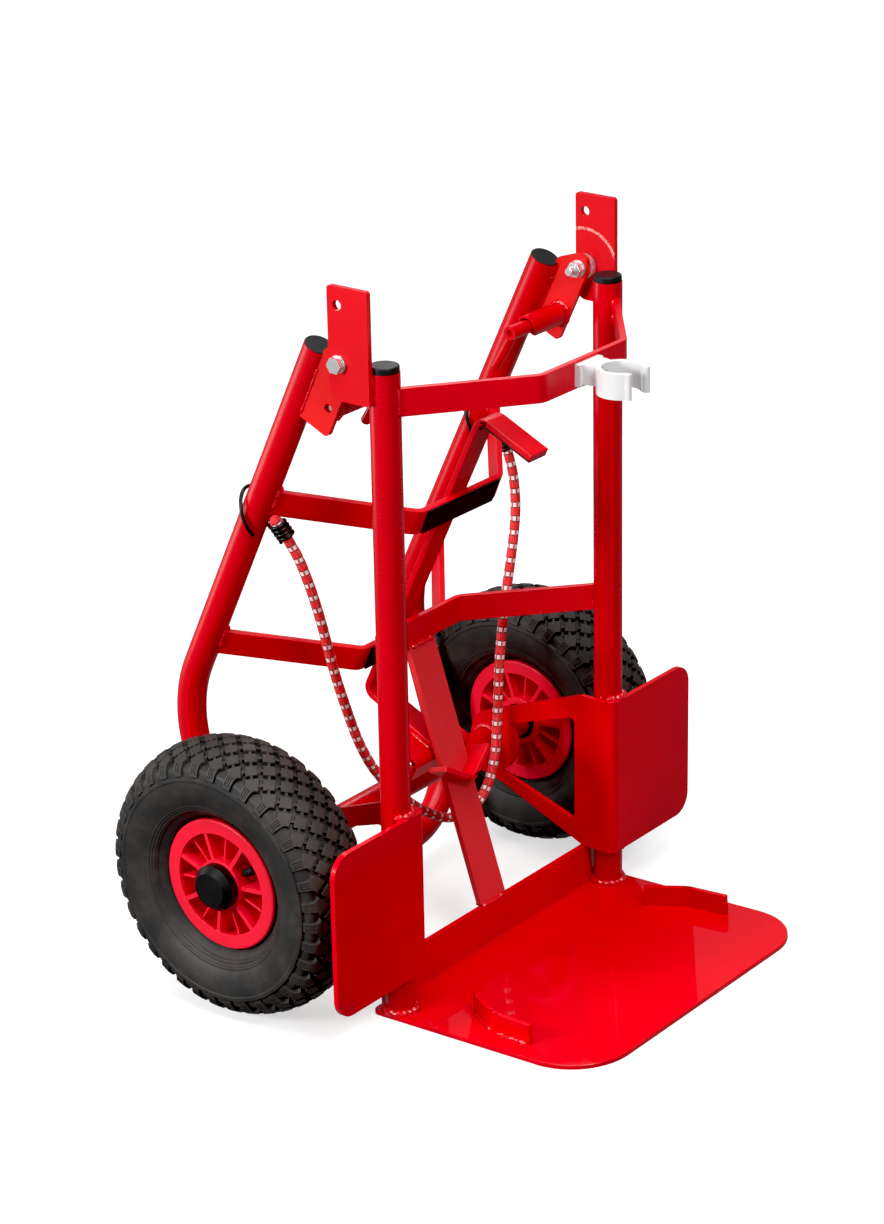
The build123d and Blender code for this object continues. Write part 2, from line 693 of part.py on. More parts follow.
def wire_tube(chain, radius, name):
    """Round wire along a chain of arcs; prints its volume against section times length."""
    with BuildPart() as wire:
        with BuildSketch(Plane(chain @ 0, z_dir=chain % 0)):
            Circle(radius)
        sweep(path=chain)
    expected = pi * radius**2 * chain.length
    print(name, "length", round(chain.length, 1), "volume ratio", round(wire.part.volume / expected, 4))
    return wire.part


def self_gap(chain, radius, skip, name):
    """Print the smallest gap of a wire to itself, measured on points along it."""
    count = ceil(chain.length / 0.8)
    points = [chain @ (i / count) for i in range(count + 1)]
    ahead = ceil(skip / 0.8)
    gap = min((points[i] - points[j]).length for i in range(count) for j in range(i + ahead, count + 1))
    print(name, "gap to itself", round(gap - 2 * radius, 2))


SPRING_WIRE_R = 0.7
SPRING_R = 6.4
SPRING_TURNS = 4
for side, sign in SIDES:
    start = STOP_RING_X + STOP_RING_T + SPRING_WIRE_R + 0.3
    stop = PIN_COLLAR_X - SPRING_WIRE_R - 0.3
    seat = Plane(origin=(sign * start, LOCK.Y, LOCK.Z), x_dir=(0, 0, 1), z_dir=(sign, 0, 0))
    nodes = helix_nodes(seat, SPRING_R, (stop - start) / SPRING_TURNS, SPRING_TURNS, 1)
    chain = biarc_wire(nodes)
    self_gap(chain, SPRING_WIRE_R, 20, f"{side}_lock_spring")
    finish(wire_tube(chain, SPRING_WIRE_R, f"{side}_lock_spring"), f"{side}_lock_spring")

# Elastic cord: one route from the left hook down behind the strut and up to the right hook
CORD_ROUTE = [
    (-166.0, -5.8, 453.5),
    (-151.5, -16.0, 424.0),
    (-139.4, -22.0, 386.4),
    (-127.0, -24.0, 346.0),
    (-115.5, -25.0, 301.0),
    (-101.0, -26.0, 258.0),
    (-82.0, -26.0, 211.0),
    (-56.8, -26.0, 171.0),
    (-20.0, -26.0, 134.0),
    (16.0, -26.0, 105.0),
    (47.0, -26.0, 87.5),
    (80.0, -26.0, 82.0),
    (107.0, -26.0, 94.0),
    (122.0, -26.0, 123.0),
    (126.5, -26.0, 165.0),
    (130.0, -26.0, 220.0),
    (140.0, -25.0, 273.0),
    (153.0, -24.0, 317.0),
    (164.0, -22.0, 354.0),
    (168.0, -19.5, 380.0),
    (166.6, -15.5, 414.0),
    (161.0, -6.5, 446.0),
]
cord_points = [Vector(x, y + AXLE_Y, z) for x, y, z in CORD_ROUTE]
cord_radii = []
for before, here, after in zip(cord_points, cord_points[1:], cord_points[2:]):
    run_in = here - before
    run_out = after - here
    turn = radians(run_in.get_angle(run_out))
    cord_radii.append(0.45 * min(run_in.length, run_out.length) / tan(turn / 2))
print("cord radii", [round(r) for r in cord_radii])
with BuildLine() as cord_line:
    FilletPolyline(*cord_points, radius=cord_radii)
cord_path = cord_line.wire()
BULB_R = 6.5
cord = wire_tube(cord_path, CORD_R, "elastic_cord")
bulbs = [Location(cord_points[0]), Location(cord_points[-1])]
with BuildPart() as cord_part:
    add(cord)
    with Locations(*bulbs):
        Sphere(BULB_R)
finish(cord_part.part, "elastic_cord")

# Wire hooks: a coil round each cord end, then a ring round the handle tube with a free tip
HOOK_GAP = 2.0
RING_FROM = 60
RING_TO = 318
RING_STEPS = 14
RING_RISE = 17.0
ring_r = TUBE_R + WIRE_R + HOOK_GAP
for side, sign in SIDES:
    ring_nodes = []
    for step in range(RING_STEPS + 1):
        bend = radians(RING_FROM + step * (RING_TO - RING_FROM) / RING_STEPS)
        across = sign * (UPRIGHT_X - ring_r * sin(bend))
        depth = HANDLE_OFFSET - ring_r * cos(bend)
        ring_nodes.append(handle_point(across, depth, HOOK_RING_U + RING_RISE * cos(bend)))
    start, following = (cord_points[0], cord_points[1]) if sign < 0 else (cord_points[-1], cord_points[-2])
    axis = (start - following).normalized()
    coil_end = start - axis * BULB_R
    coil_start = coil_end - axis * (COIL_TURNS * COIL_PITCH)
    lead = ring_nodes[0] - coil_end
    lead = (lead - axis * lead.dot(axis)).normalized()
    coil_plane = Plane(origin=coil_start, x_dir=(lead * sign).cross(axis), z_dir=axis)
    nodes = helix_nodes(coil_plane, COIL_R, COIL_PITCH, COIL_TURNS, sign)
    trail = [nodes[-1][0]] + ring_nodes + [ring_nodes[-1]]
    for before, here, after in zip(trail, trail[1:], trail[2:]):
        nodes.append((here, (after - before).normalized()))
    chain = biarc_wire(nodes)
    self_gap(chain, WIRE_R, 24, f"{side}_cord_hook")
    finish(wire_tube(chain, WIRE_R, f"{side}_cord_hook"), f"{side}_cord_hook")

# Wheels: bead-seated tyre with an inner tube on a ribbed rim that runs on two bearings
RIM_R = 62.0
RIM_HALF = 27.0
BARREL_OUT = 57.2
BARREL_IN = 51.0
HUB_R = 24.0
RIM_RING_R = 48.5
RIM_RING_T = 4.0
RIB_T = 4.0
THIN_RIB_T = 2.2
RIB_COUNT = 7
RIB_START = 19.4
VALVE_ANGLE = 148.0
BEARING_R = 17.5
BEARING_T = 11.0
BEAD_X = 23.5
BEAD_R = 57.5
BEAD_TOP = 62.5
TREAD_SLOTS = 36
GROOVE_W = 3.5
GROOVE_D = 3.5


def wheel_sketch_plane(x):
    """Sketch plane through the wheel's axis: sketch x along the axle, sketch y along the radius."""
    return Plane(origin=(x, AXLE_Y, WHEEL_R), x_dir=(1, 0, 0), z_dir=(0, -1, 0))


for side, sign in SIDES:
    centre = sign * WHEEL_X
    spin = Axis((centre, AXLE_Y, WHEEL_R), (1, 0, 0))
    with BuildPart() as tyre:
        with BuildSketch(wheel_sketch_plane(centre)):
            with BuildLine():
                outer_side = [(BEAD_X, BEAD_TOP), (TYRE_HALF - 0.6, 90), (37.5, 117)]
                inner_side = [(13, 60), (33, 88), (29, 111)]
                Line((BEAD_X, BEAD_R), (BEAD_X, BEAD_TOP))
                ThreePointArc(*outer_side)
                ThreePointArc((37.5, 117), (0, WHEEL_R), (-37.5, 117))
                ThreePointArc(*[(-x, r) for x, r in reversed(outer_side)])
                Polyline((-BEAD_X, BEAD_TOP), (-BEAD_X, BEAD_R), (-13, BEAD_R), (-13, 60))
                ThreePointArc(*[(-x, r) for x, r in inner_side])
                ThreePointArc((-29, 111), (0, WHEEL_R - 9), (29, 111))
                ThreePointArc(*reversed(inner_side))
                Polyline((13, 60), (13, BEAD_R), (BEAD_X, BEAD_R))
            make_face()
        revolve(axis=spin)
        with BuildSketch(wheel_sketch_plane(centre)):
            for groove in (-12, 12):
                with Locations((groove, WHEEL_R - 1)):
                    Rectangle(GROOVE_W, 2 * GROOVE_D)
        revolve(axis=spin, mode=Mode.SUBTRACT)
        with BuildSketch(side_plane(centre, AXLE_Y, WHEEL_R)):
            with PolarLocations(WHEEL_R, TREAD_SLOTS):
                Rectangle(2 * GROOVE_D, GROOVE_W)
        extrude(amount=TYRE_HALF + 2, both=True, mode=Mode.SUBTRACT)
    finish(tyre.part, f"{side}_tyre")

    with BuildPart() as inner_tube:
        with BuildSketch(wheel_sketch_plane(centre)):
            with Locations((0, 89)):
                Circle(25)
                Circle(22.5, mode=Mode.SUBTRACT)
        revolve(axis=spin)
    finish(inner_tube.part, f"{side}_inner_tube")

    with BuildPart() as rim:
        with BuildSketch(wheel_sketch_plane(centre)) as section:
            Polygon(
                (-RIM_HALF, RIM_RING_R),
                (RIM_RING_T - RIM_HALF, RIM_RING_R),
                (RIM_RING_T - RIM_HALF, BARREL_IN),
                (RIM_HALF - RIM_RING_T, BARREL_IN),
                (RIM_HALF - RIM_RING_T, RIM_RING_R),
                (RIM_HALF, RIM_RING_R),
                (RIM_HALF, RIM_R),
                (BEAD_X + 0.3, RIM_R),
                (BEAD_X + 0.3, BARREL_OUT),
                (-BEAD_X - 0.3, BARREL_OUT),
                (-BEAD_X - 0.3, RIM_R),
                (-RIM_HALF, RIM_R),
                align=None,
            )
            fillet(section.vertices().group_by(Axis.Y)[-1].sort_by(lambda v: abs(v.X))[-2:], 2.4)
            with Locations((0, (HUB_R + SHAFT_R + 1) / 2)):
                Rectangle(2 * HUB_HALF, HUB_R - SHAFT_R - 1)
            with Locations((0, (HUB_R + BARREL_IN) / 2)):
                Rectangle(6, BARREL_IN - HUB_R + 4)
        revolve(axis=spin)
        rib_r = (HUB_R + BARREL_IN) / 2
        rib_l = BARREL_IN - HUB_R + 2
        rib_step = 360 / RIB_COUNT
        with BuildSketch(side_plane(centre, AXLE_Y, WHEEL_R)):
            with PolarLocations(rib_r, RIB_COUNT, start_angle=RIB_START):
                Rectangle(rib_l, RIB_T)
        extrude(amount=RIM_HALF - 0.5, both=True)
        with BuildSketch(side_plane(centre, AXLE_Y, WHEEL_R)):
            beside_valve = VALVE_ANGLE + rib_step
            with PolarLocations(rib_r, RIB_COUNT - 1, beside_valve, 360 - 2 * rib_step, endpoint=True):
                Rectangle(rib_l, THIN_RIB_T)
        extrude(amount=RIM_HALF - RIM_RING_T, both=True)
        with BuildSketch(wheel_sketch_plane(centre)):
            for end in (-1, 1):
                with Locations((end * (HUB_HALF - BEARING_T / 2), BEARING_R / 2)):
                    Rectangle(BEARING_T, BEARING_R)
        revolve(axis=spin, mode=Mode.SUBTRACT)
        valve_plane = Plane(
            origin=(centre + sign * 18.5, AXLE_Y, WHEEL_R),
            x_dir=(1, 0, 0),
            z_dir=(0, cos(radians(VALVE_ANGLE)), sin(radians(VALVE_ANGLE))),
        )
        with BuildSketch(valve_plane.offset(BARREL_IN - 4)):
            Circle(4)
        extrude(amount=14, mode=Mode.SUBTRACT)
    finish(rim.part, f"{side}_rim")

    with BuildPart() as valve:
        with BuildSketch(valve_plane.offset(26)):
            Circle(2.6)
        extrude(amount=12)
        with BuildSketch(valve_plane.offset(38)):
            Circle(4)
        extrude(amount=19)
    finish(valve.part, f"{side}_valve")

    bearings = []
    for end in (-1, 1):
        x0 = centre + end * (HUB_HALF - BEARING_T)
        bearings.append(ring(x0, centre + end * HUB_HALF, BEARING_R, SHAFT_R + RUN_GAP))
    finish(Compound(children=bearings), f"{side}_wheel_bearings")

    with BuildPart() as hub_cap:
        with BuildSketch(wheel_sketch_plane(centre)):
            skirt = sign * HUB_HALF
            face = sign * (HUB_HALF + 14)
            Polygon(
                (skirt, 21.5),
                (face - sign * 6, 21.5),
                (face, 16),
                (face, 0),
                (face - sign * 3, 0),
                (face - sign * 3, 14),
                (face - sign * 7, 18),
                (skirt, 18),
                align=None,
            )
        revolve(axis=spin)
    finish(hub_cap.part, f"{side}_hub_cap")
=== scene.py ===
"""Dresses the folding transport cart: paint, rubber, zinc, welds, tyres, pads and the elastic cord.

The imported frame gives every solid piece. This add-on gives each one its finish and builds the pieces
that the frame only holds room for. Lengths are metres, in the frame's own axes: +X along the axle,
-Y towards the toe plate's front, +Z up. Places and shapes are worked out in millimetres, times MM.
"""

import math
from functools import cache

import bpy
import numpy as np
from bpy.props import FloatProperty, FloatVectorProperty, IntProperty, PointerProperty
from mathutils import Matrix


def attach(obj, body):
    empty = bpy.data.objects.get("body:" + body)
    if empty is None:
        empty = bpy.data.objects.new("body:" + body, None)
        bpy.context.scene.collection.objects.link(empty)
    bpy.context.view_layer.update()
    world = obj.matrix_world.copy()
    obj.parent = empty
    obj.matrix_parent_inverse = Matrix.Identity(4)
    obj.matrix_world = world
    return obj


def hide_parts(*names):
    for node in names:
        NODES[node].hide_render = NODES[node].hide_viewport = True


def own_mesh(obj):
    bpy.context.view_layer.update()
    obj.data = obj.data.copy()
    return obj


bl_info = {
    "name": "Folding transport cart",
    "version": (1, 0, 0),
    "blender": (4, 5, 0),
    "location": "View3D > Sidebar > Cart",
    "description": "Builds the finishes, tyres, welds, pads and cord of a folding transport cart",
    "category": "Object",
}

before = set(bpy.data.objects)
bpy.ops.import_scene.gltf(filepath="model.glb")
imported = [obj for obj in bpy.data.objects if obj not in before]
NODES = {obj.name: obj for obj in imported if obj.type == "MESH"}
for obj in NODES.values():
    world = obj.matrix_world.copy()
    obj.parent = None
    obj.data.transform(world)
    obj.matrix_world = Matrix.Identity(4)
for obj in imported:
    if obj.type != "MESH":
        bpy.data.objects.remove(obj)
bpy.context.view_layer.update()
MM = 0.001
SIDES = (("left", -1), ("right", 1))
X_WAY, Y_WAY, Z_WAY = np.eye(3)

# Places taken over from the solids, in millimetres: upright frame, y counted from the axle
AXLE_Y, WHEEL_R, WHEEL_X = 108.0, 130.0, 223.0
LEAN, TILT = math.radians(2.29), math.radians(25.3)
PIVOT_Y, PIVOT_Z = -96.5, 613.5
UPRIGHT_X, UPRIGHT_Y, TUBE_R = 161.25, -131.0, 13.5
HINGE_X = UPRIGHT_X + TUBE_R
CORD_ROUTE = (
    (-166.0, -5.8, 453.5), (-151.5, -16.0, 424.0), (-139.4, -22.0, 386.4), (-127.0, -24.0, 346.0),
    (-115.5, -25.0, 301.0), (-101.0, -26.0, 258.0), (-82.0, -26.0, 211.0), (-56.8, -26.0, 171.0),
    (-20.0, -26.0, 134.0), (16.0, -26.0, 105.0), (47.0, -26.0, 87.5), (80.0, -26.0, 82.0),
    (107.0, -26.0, 94.0), (122.0, -26.0, 123.0), (126.5, -26.0, 165.0), (130.0, -26.0, 220.0),
    (140.0, -25.0, 273.0), (153.0, -24.0, 317.0), (164.0, -22.0, 354.0), (168.0, -19.5, 380.0),
    (166.6, -15.5, 414.0), (161.0, -6.5, 446.0),
)

# The folded handle, in millimetres across (w) and down along (u) its tubes
HANDLE_W = 34.5
BAR_T, BAR_W = 6.0, 25.0
REST_BARS = (("upper_rest", 158.5), ("lower_rest", 321.0))
REST_X, REST_W, REST_DROP, REST_PAD = 58.0, -62.0, math.radians(3.0), 52.0
HOOK_TIP, HOOK_BEND, HOOK_U, HOOK_R, HOOK_PAD = -118.0, -66.0, 77.0, 10.0 - BAR_T / 2, 12.5
PAD_TAPER = 1.5

# The tyre's section, in millimetres: crown arc, sidewall arc from its first to its last angle, rings and lip
CROWN_R, SHOULDER_X = 60.6, 37.5
WALL_R, WALL_X, WALL_Z = 46.0, -4.75, 98.8
WALL_START, WALL_STOP = math.atan2(18.2, 42.25), math.atan2(-36.3, 28.25)
SHOULDER_BLEND = 9.0
RING_RADII, RING_HEIGHT, RING_WIDTH = (77.5, 75.2, 72.9), 0.55, 0.45
LIP_X, LIP_R = 13.0, 59.0


# Frames


def leaned(y, z):
    """Y and z turned forward by LEAN."""
    c, s = math.cos(LEAN), math.sin(LEAN)
    return y * c - z * s, y * s + z * c


def lean(points):
    """Points of the upright frame, in millimetres with y from the axle, leant about the axle, in metres."""
    p = np.asarray(points, float)
    y, z = leaned(p[..., 1], p[..., 2] - WHEEL_R)
    return np.stack([p[..., 0], AXLE_Y + y, WHEEL_R + z], -1) * MM


def lean_way(way):
    """A direction of the upright frame, turned with it."""
    return np.array([way[0], *leaned(way[1], way[2])])


def on_handle(points):
    """Points (x, w, u) of the folded handle, in millimetres, to the frame in metres."""
    p = np.asarray(points, float)
    w, u = p[..., 1], p[..., 2]
    y = PIVOT_Y + u * math.sin(TILT) + w * math.cos(TILT)
    z = PIVOT_Z - u * math.cos(TILT) + w * math.sin(TILT)
    return lean(np.stack([p[..., 0], y, z], -1))


# Rubbed arc on the hinge plates: its axis, radius, half width and the greatest |x| that it reaches
SCRAPE = (lean((0.0, PIVOT_Y, PIVOT_Z))[1:], 0.035, 0.0018, HINGE_X * MM + 0.0006)


# Meshes


def unit(way):
    """A direction, or each row of a list of directions, at length 1."""
    way = np.asarray(way, float)
    return way / np.linalg.norm(way, axis=-1, keepdims=True)


def run_of(line):
    """Length along a line of points up to each of them."""
    return np.concatenate([[0], np.cumsum(np.linalg.norm(np.diff(line, axis=0), axis=1))])


def ease(value, low, high):
    """Smooth step: k * k * (3 - 2 * k), where k runs from 0 at low to 1 at high."""
    k = np.clip((value - low) / (high - low), 0, 1)
    return k * k * (3 - 2 * k)


def grid_faces(rows, cols, wrap_rows=False, wrap_cols=False):
    """Quads of a rows by cols grid of points; a wrapped direction joins its last line to its first."""
    i = np.arange(rows if wrap_rows else rows - 1)[:, None]
    j = np.arange(cols if wrap_cols else cols - 1)[None, :]
    i2, j2 = (i + 1) % rows, (j + 1) % cols
    corners = (i * cols + j, i2 * cols + j, i2 * cols + j2, i * cols + j2)
    return np.stack(np.broadcast_arrays(*corners), -1).reshape(-1, 4)


def end_faces(rows, cols):
    """The two faces that close a tube of rows rings of cols points, for quads as grid_faces gives them."""
    last = (rows - 1) * cols
    return [list(range(cols))[::-1], list(range(last, last + cols))]


def joined(parts):
    """Several (points, faces) shapes as one list of points and one list of faces."""
    points, faces, start = [], [], 0
    for p, f in parts:
        p = p.reshape(-1, 3)
        points.append(p)
        faces.extend([k + start for k in face] for face in (f if isinstance(f, list) else f.tolist()))
        start += len(p)
    return np.concatenate(points), faces


def copies(block, rows, cols, flip=False):
    """A stack of equal rows by cols grid shapes (n, points, 3) as one shape, each closed by a face below.

    The face below runs round the grid's outer loop. Flip turns all faces round.
    """
    n, count = block.shape[:2]
    loop = np.concatenate(
        [
            np.arange(cols),
            np.arange(1, rows) * cols + cols - 1,
            (rows - 1) * cols + np.arange(cols - 2, -1, -1),
            np.arange(rows - 2, 0, -1) * cols,
        ]
    )
    faces, below = grid_faces(rows, cols), loop[::-1]
    if flip:
        faces, below = faces[:, ::-1], loop
    shift = (np.arange(n) * count)[:, None, None]
    quads = (faces[None] + shift).reshape(-1, 4).tolist()
    return block.reshape(-1, 3), quads + (below[None, :] + shift[:, 0]).tolist()


def add_piece(name, points, faces, body, material, uv=None, crest=None, smooth=60):
    """New mesh piece in the frame, riding on a body, shaded smooth below the given angle in degrees.

    A map uv holds one pair per face corner, and crest one value per point.
    """
    mesh = bpy.data.meshes.new(name)
    mesh.from_pydata(np.asarray(points).tolist(), [], faces if isinstance(faces, list) else faces.tolist())
    mesh.polygons.foreach_set("use_smooth", np.ones(len(mesh.polygons), bool))
    if uv is not None:
        mesh.uv_layers.new(name="along").data.foreach_set("uv", np.asarray(uv, np.float32).ravel())
    if crest is not None:
        values = mesh.attributes.new("crest", "FLOAT", "POINT").data
        values.foreach_set("value", np.asarray(crest, np.float32))
    mesh.set_sharp_from_angle(angle=math.radians(smooth))
    mesh.validate()
    piece = bpy.data.objects.new(name, mesh)
    bpy.context.scene.collection.objects.link(piece)
    mesh.materials.append(material)
    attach(piece, body)
    return piece


def tube_along(centres, radius, sides, reference, closed=False):
    """Round tube: circles of the given radius about a line of points, each square to the line.

    The circle's first axis is the line's direction crossed with the reference, its second is the first
    crossed with the direction; an open tube is closed by one face at each end.
    """
    c = np.asarray(centres, float)
    ahead = np.roll(c, -1, 0) - np.roll(c, 1, 0)
    if not closed:
        ahead[0], ahead[-1] = c[1] - c[0], c[-1] - c[-2]
    ahead = unit(ahead)
    first = unit(np.cross(ahead, np.asarray(reference, float)))
    second = np.cross(first, ahead)
    turn = np.linspace(0, 2 * math.pi, sides, endpoint=False)[None, :, None]
    r = np.broadcast_to(np.asarray(radius, float), (len(c),))[:, None, None]
    points = c[:, None] + r * (first[:, None] * np.cos(turn) + second[:, None] * np.sin(turn))
    faces = grid_faces(len(c), sides, wrap_rows=closed, wrap_cols=True)[:, ::-1].tolist()
    if not closed:
        faces += [face[::-1] for face in end_faces(len(c), sides)]
    return points.reshape(-1, 3), faces


def revolved(profile, origin, axis, sides):
    """Closed surface of revolution: each (along, radius) pair of a profile turned about an axis."""
    axis = unit(axis)
    first = unit(np.cross(axis, Z_WAY if abs(axis[2]) < 0.9 else X_WAY))
    second = np.cross(axis, first)
    turn = np.linspace(0, 2 * math.pi, sides, endpoint=False)[:, None]
    p = np.asarray(profile, float)
    around = first * np.cos(turn) + second * np.sin(turn)
    points = np.asarray(origin, float) + p[:, None, :1] * axis + p[:, None, 1:] * around[None]
    return points.reshape(-1, 3), grid_faces(len(p), sides, wrap_rows=True, wrap_cols=True)


# Shader building blocks: each works in the node tree of the socket that it is given


def feed(socket, value):
    """Links a socket to an input, or sets the input to a number or an opaque colour."""
    if isinstance(value, bpy.types.NodeSocket):
        socket.id_data.links.new(value, socket)
    else:
        socket.default_value = (*value[:3], 1.0) if isinstance(value, (tuple, list)) else value


def fill(inputs, **values):
    """Feeds several inputs by name, with an underscore for each space of the name."""
    for label, value in values.items():
        feed(inputs[label.replace("_", " ")], value)


def calc(operation, a, b=None, clamp=False):
    """Output of a math node on a socket and, where the operation takes one, a second socket or number."""
    node = a.id_data.nodes.new("ShaderNodeMath")
    node.operation, node.use_clamp = operation, clamp
    feed(node.inputs[0], a)
    if b is not None:
        feed(node.inputs[1], b)
    return node.outputs[0]


def times(a, b, clamp=False):
    """Product of a socket and a socket or number."""
    return calc("MULTIPLY", a, b, clamp)


def plus(a, b, clamp=False):
    """Sum of a socket and a socket or number."""
    return calc("ADD", a, b, clamp)


def apart(a, b):
    """Distance of a socket's value from a number."""
    return calc("ABSOLUTE", calc("SUBTRACT", a, b))


def mix_colour(factor, a, b):
    """Mixes two colours, given as sockets or tuples, by a factor socket."""
    node = factor.id_data.nodes.new("ShaderNodeMix")
    node.data_type = "RGBA"
    for index, value in ((0, factor), (6, a), (7, b)):
        feed(node.inputs[index], value)
    return node.outputs[2]


def noise(vector, scale, detail=3.0, roughness=0.5):
    """Noise texture on a coordinate socket; scale is a number or a socket."""
    node = vector.id_data.nodes.new("ShaderNodeTexNoise")
    fill(node.inputs, Vector=vector, Scale=scale, Detail=detail, Roughness=roughness)
    return node.outputs["Fac"]


def ranged(value, low, high, to_low=0.0, to_high=1.0):
    """Maps a value between two limits, by a smooth step, onto two new ones."""
    node = value.id_data.nodes.new("ShaderNodeMapRange")
    node.interpolation_type = "SMOOTHSTEP"
    for socket, number in zip(node.inputs, (value, low, high, to_low, to_high)):
        feed(socket, number)
    return node.outputs[0]


def bumped(height, strength, distance):
    """Normal of a surface with the given height."""
    node = height.id_data.nodes.new("ShaderNodeBump")
    fill(node.inputs, Strength=strength, Distance=distance, Height=height)
    return node.outputs["Normal"]


def object_point(tree):
    """The shaded point's place in its piece's own axes."""
    return tree.nodes.new("ShaderNodeTexCoord").outputs["Object"]


def parts_of(vector):
    """The three parts of a vector socket."""
    split = vector.id_data.nodes.new("ShaderNodeSeparateXYZ")
    feed(split.inputs[0], vector)
    return split.outputs


def node_group(name, inputs, outputs):
    """Shader node group whose sockets hold a colour where they are called Color, and else a number.

    Returns the group, its inputs as they arrive inside it, and the inputs of its output node.
    """
    group = bpy.data.node_groups.new(name, "ShaderNodeTree")
    for way, labels in (("INPUT", inputs), ("OUTPUT", outputs)):
        for label in labels:
            kind = "NodeSocketColor" if label == "Color" else "NodeSocketFloat"
            group.interface.new_socket(label, in_out=way, socket_type=kind)
    return group, group.nodes.new("NodeGroupInput").outputs, group.nodes.new("NodeGroupOutput").inputs


@cache
def skin_group():
    """Surface skin: broad, fine and coarse noises vary the colour and the gloss a little and give a height.

    Colour is the input darkened by the broad noise, roughness is the base plus the broad and fine
    noises times Uneven, and Height is the fine noise plus the coarse noise times Dimples.
    """
    inputs = ("Color", "Shade", "Roughness", "Uneven", "Fine Scale", "Broad Scale", "Dimples")
    group, given, result = node_group("surface_skin", inputs, ("Color", "Roughness", "Height"))
    where = object_point(group)
    broad = noise(where, given["Broad Scale"], 4.0, 0.6)
    fine = noise(where, given["Fine Scale"], 2.0)
    coarse = noise(where, times(given["Fine Scale"], 0.28), 2.0)
    darker = times(ranged(broad, 0.35, 0.75), given["Shade"])
    spread = calc("SUBTRACT", plus(broad, times(fine, 0.4)), 0.7)
    fill(
        result,
        Color=mix_colour(darker, given["Color"], (0.0, 0.0, 0.0)),
        Roughness=plus(given["Roughness"], times(spread, given["Uneven"]), True),
        Height=plus(fine, times(coarse, given["Dimples"])),
    )
    return group


@cache
def wear_group():
    """Rubbed places: stretched noise cut to thin streaks, thinned by a broad noise; Mask is 0 to 1."""
    group, given, result = node_group("rub_marks", ("Amount", "Scale"), ("Mask",))
    where = object_point(group)
    stretch = group.nodes.new("ShaderNodeMapping")
    feed(stretch.inputs["Vector"], where)
    stretch.inputs["Rotation"].default_value = (0.3, 0.2, 0.5)
    stretch.inputs["Scale"].default_value = (1.0, 0.12, 1.0)
    streak = ranged(noise(stretch.outputs[0], given["Scale"], 3.0, 0.55), 0.66, 0.74)
    patch = ranged(noise(where, 9.0, 2.0), 0.5, 0.68)
    fill(result, Mask=times(times(streak, patch), given["Amount"], True))
    return group


@cache
def dust_group():
    """Dust: broad patches of noise, thinned to as little as 0.4 by a fine grain; Mask is 0 to 1."""
    group, given, result = node_group("dust_film", ("Amount", "Scale"), ("Mask",))
    where = object_point(group)
    broad = ranged(noise(where, given["Scale"], 4.0, 0.65), 0.38, 0.72)
    grain = ranged(noise(where, 1400.0, 2.0), 0.3, 0.8)
    fill(result, Mask=times(times(broad, plus(times(grain, 0.6), 0.4)), given["Amount"], True))
    return group


def placed(tree, group, **values):
    """Places a shared group in a material, sets its inputs by name and returns its outputs."""
    node = tree.nodes.new("ShaderNodeGroup")
    node.node_tree = group
    fill(node.inputs, **values)
    return node.outputs


def new_material(name):
    """New material with a Principled shader; returns it, its tree and the shader's inputs."""
    material = bpy.data.materials.new(name)
    material.use_nodes = True
    return material, material.node_tree, material.node_tree.nodes["Principled BSDF"].inputs


# Finishes


def scrape_arc(tree, centre, radius, width, inside):
    """Scraped arc on a side plate: a band of distance about an axis along X, where |x| is below inside.

    Noise breaks the band up. The result is 0 to 1.
    """
    where = object_point(tree)
    x, y, z = parts_of(where)
    dy = calc("SUBTRACT", y, float(centre[0]))
    dz = calc("SUBTRACT", z, float(centre[1]))
    off = apart(calc("SQRT", plus(times(dy, dy), times(dz, dz))), radius)
    band = times(ranged(off, width, 0.4 * width), ranged(noise(where, 700.0), 0.36, 0.56))
    return times(band, ranged(calc("ABSOLUTE", x), inside, inside - 0.0002))


def painted(
    name, colour, roughness=0.2, peel=700.0, dimples=0.6, wear=0.35,
    gloss=0.25, bump=0.25, coat=0.08, film=0.06, scrape=None,
):
    """Gloss paint on steel: skin under a clear coat, with fine rub marks that show paler and duller.

    Peel is the scale of the paint's fine relief, and film the roughness of its coat.
    """
    material, tree, shader = new_material(name)
    skin = placed(
        tree, skin_group(), Color=colour, Shade=0.12, Roughness=roughness, Uneven=0.12,
        Fine_Scale=peel, Broad_Scale=7.0, Dimples=dimples,
    )
    rub = placed(tree, wear_group(), Amount=wear, Scale=70.0)["Mask"]
    finish = mix_colour(rub, skin["Color"], tuple(min(1.0, c * 1.15 + 0.06) for c in colour))
    if scrape:
        arc = scrape_arc(tree, *scrape)
        finish = mix_colour(arc, finish, (0.9, 0.4, 0.37))
        rub = calc("MAXIMUM", rub, arc)
    fill(
        shader, Base_Color=finish, Roughness=plus(skin["Roughness"], times(rub, 0.3), True), Coat_Weight=coat,
        Coat_Roughness=film, Specular_IOR_Level=gloss, Normal=bumped(skin["Height"], bump, 0.0002),
    )
    return material


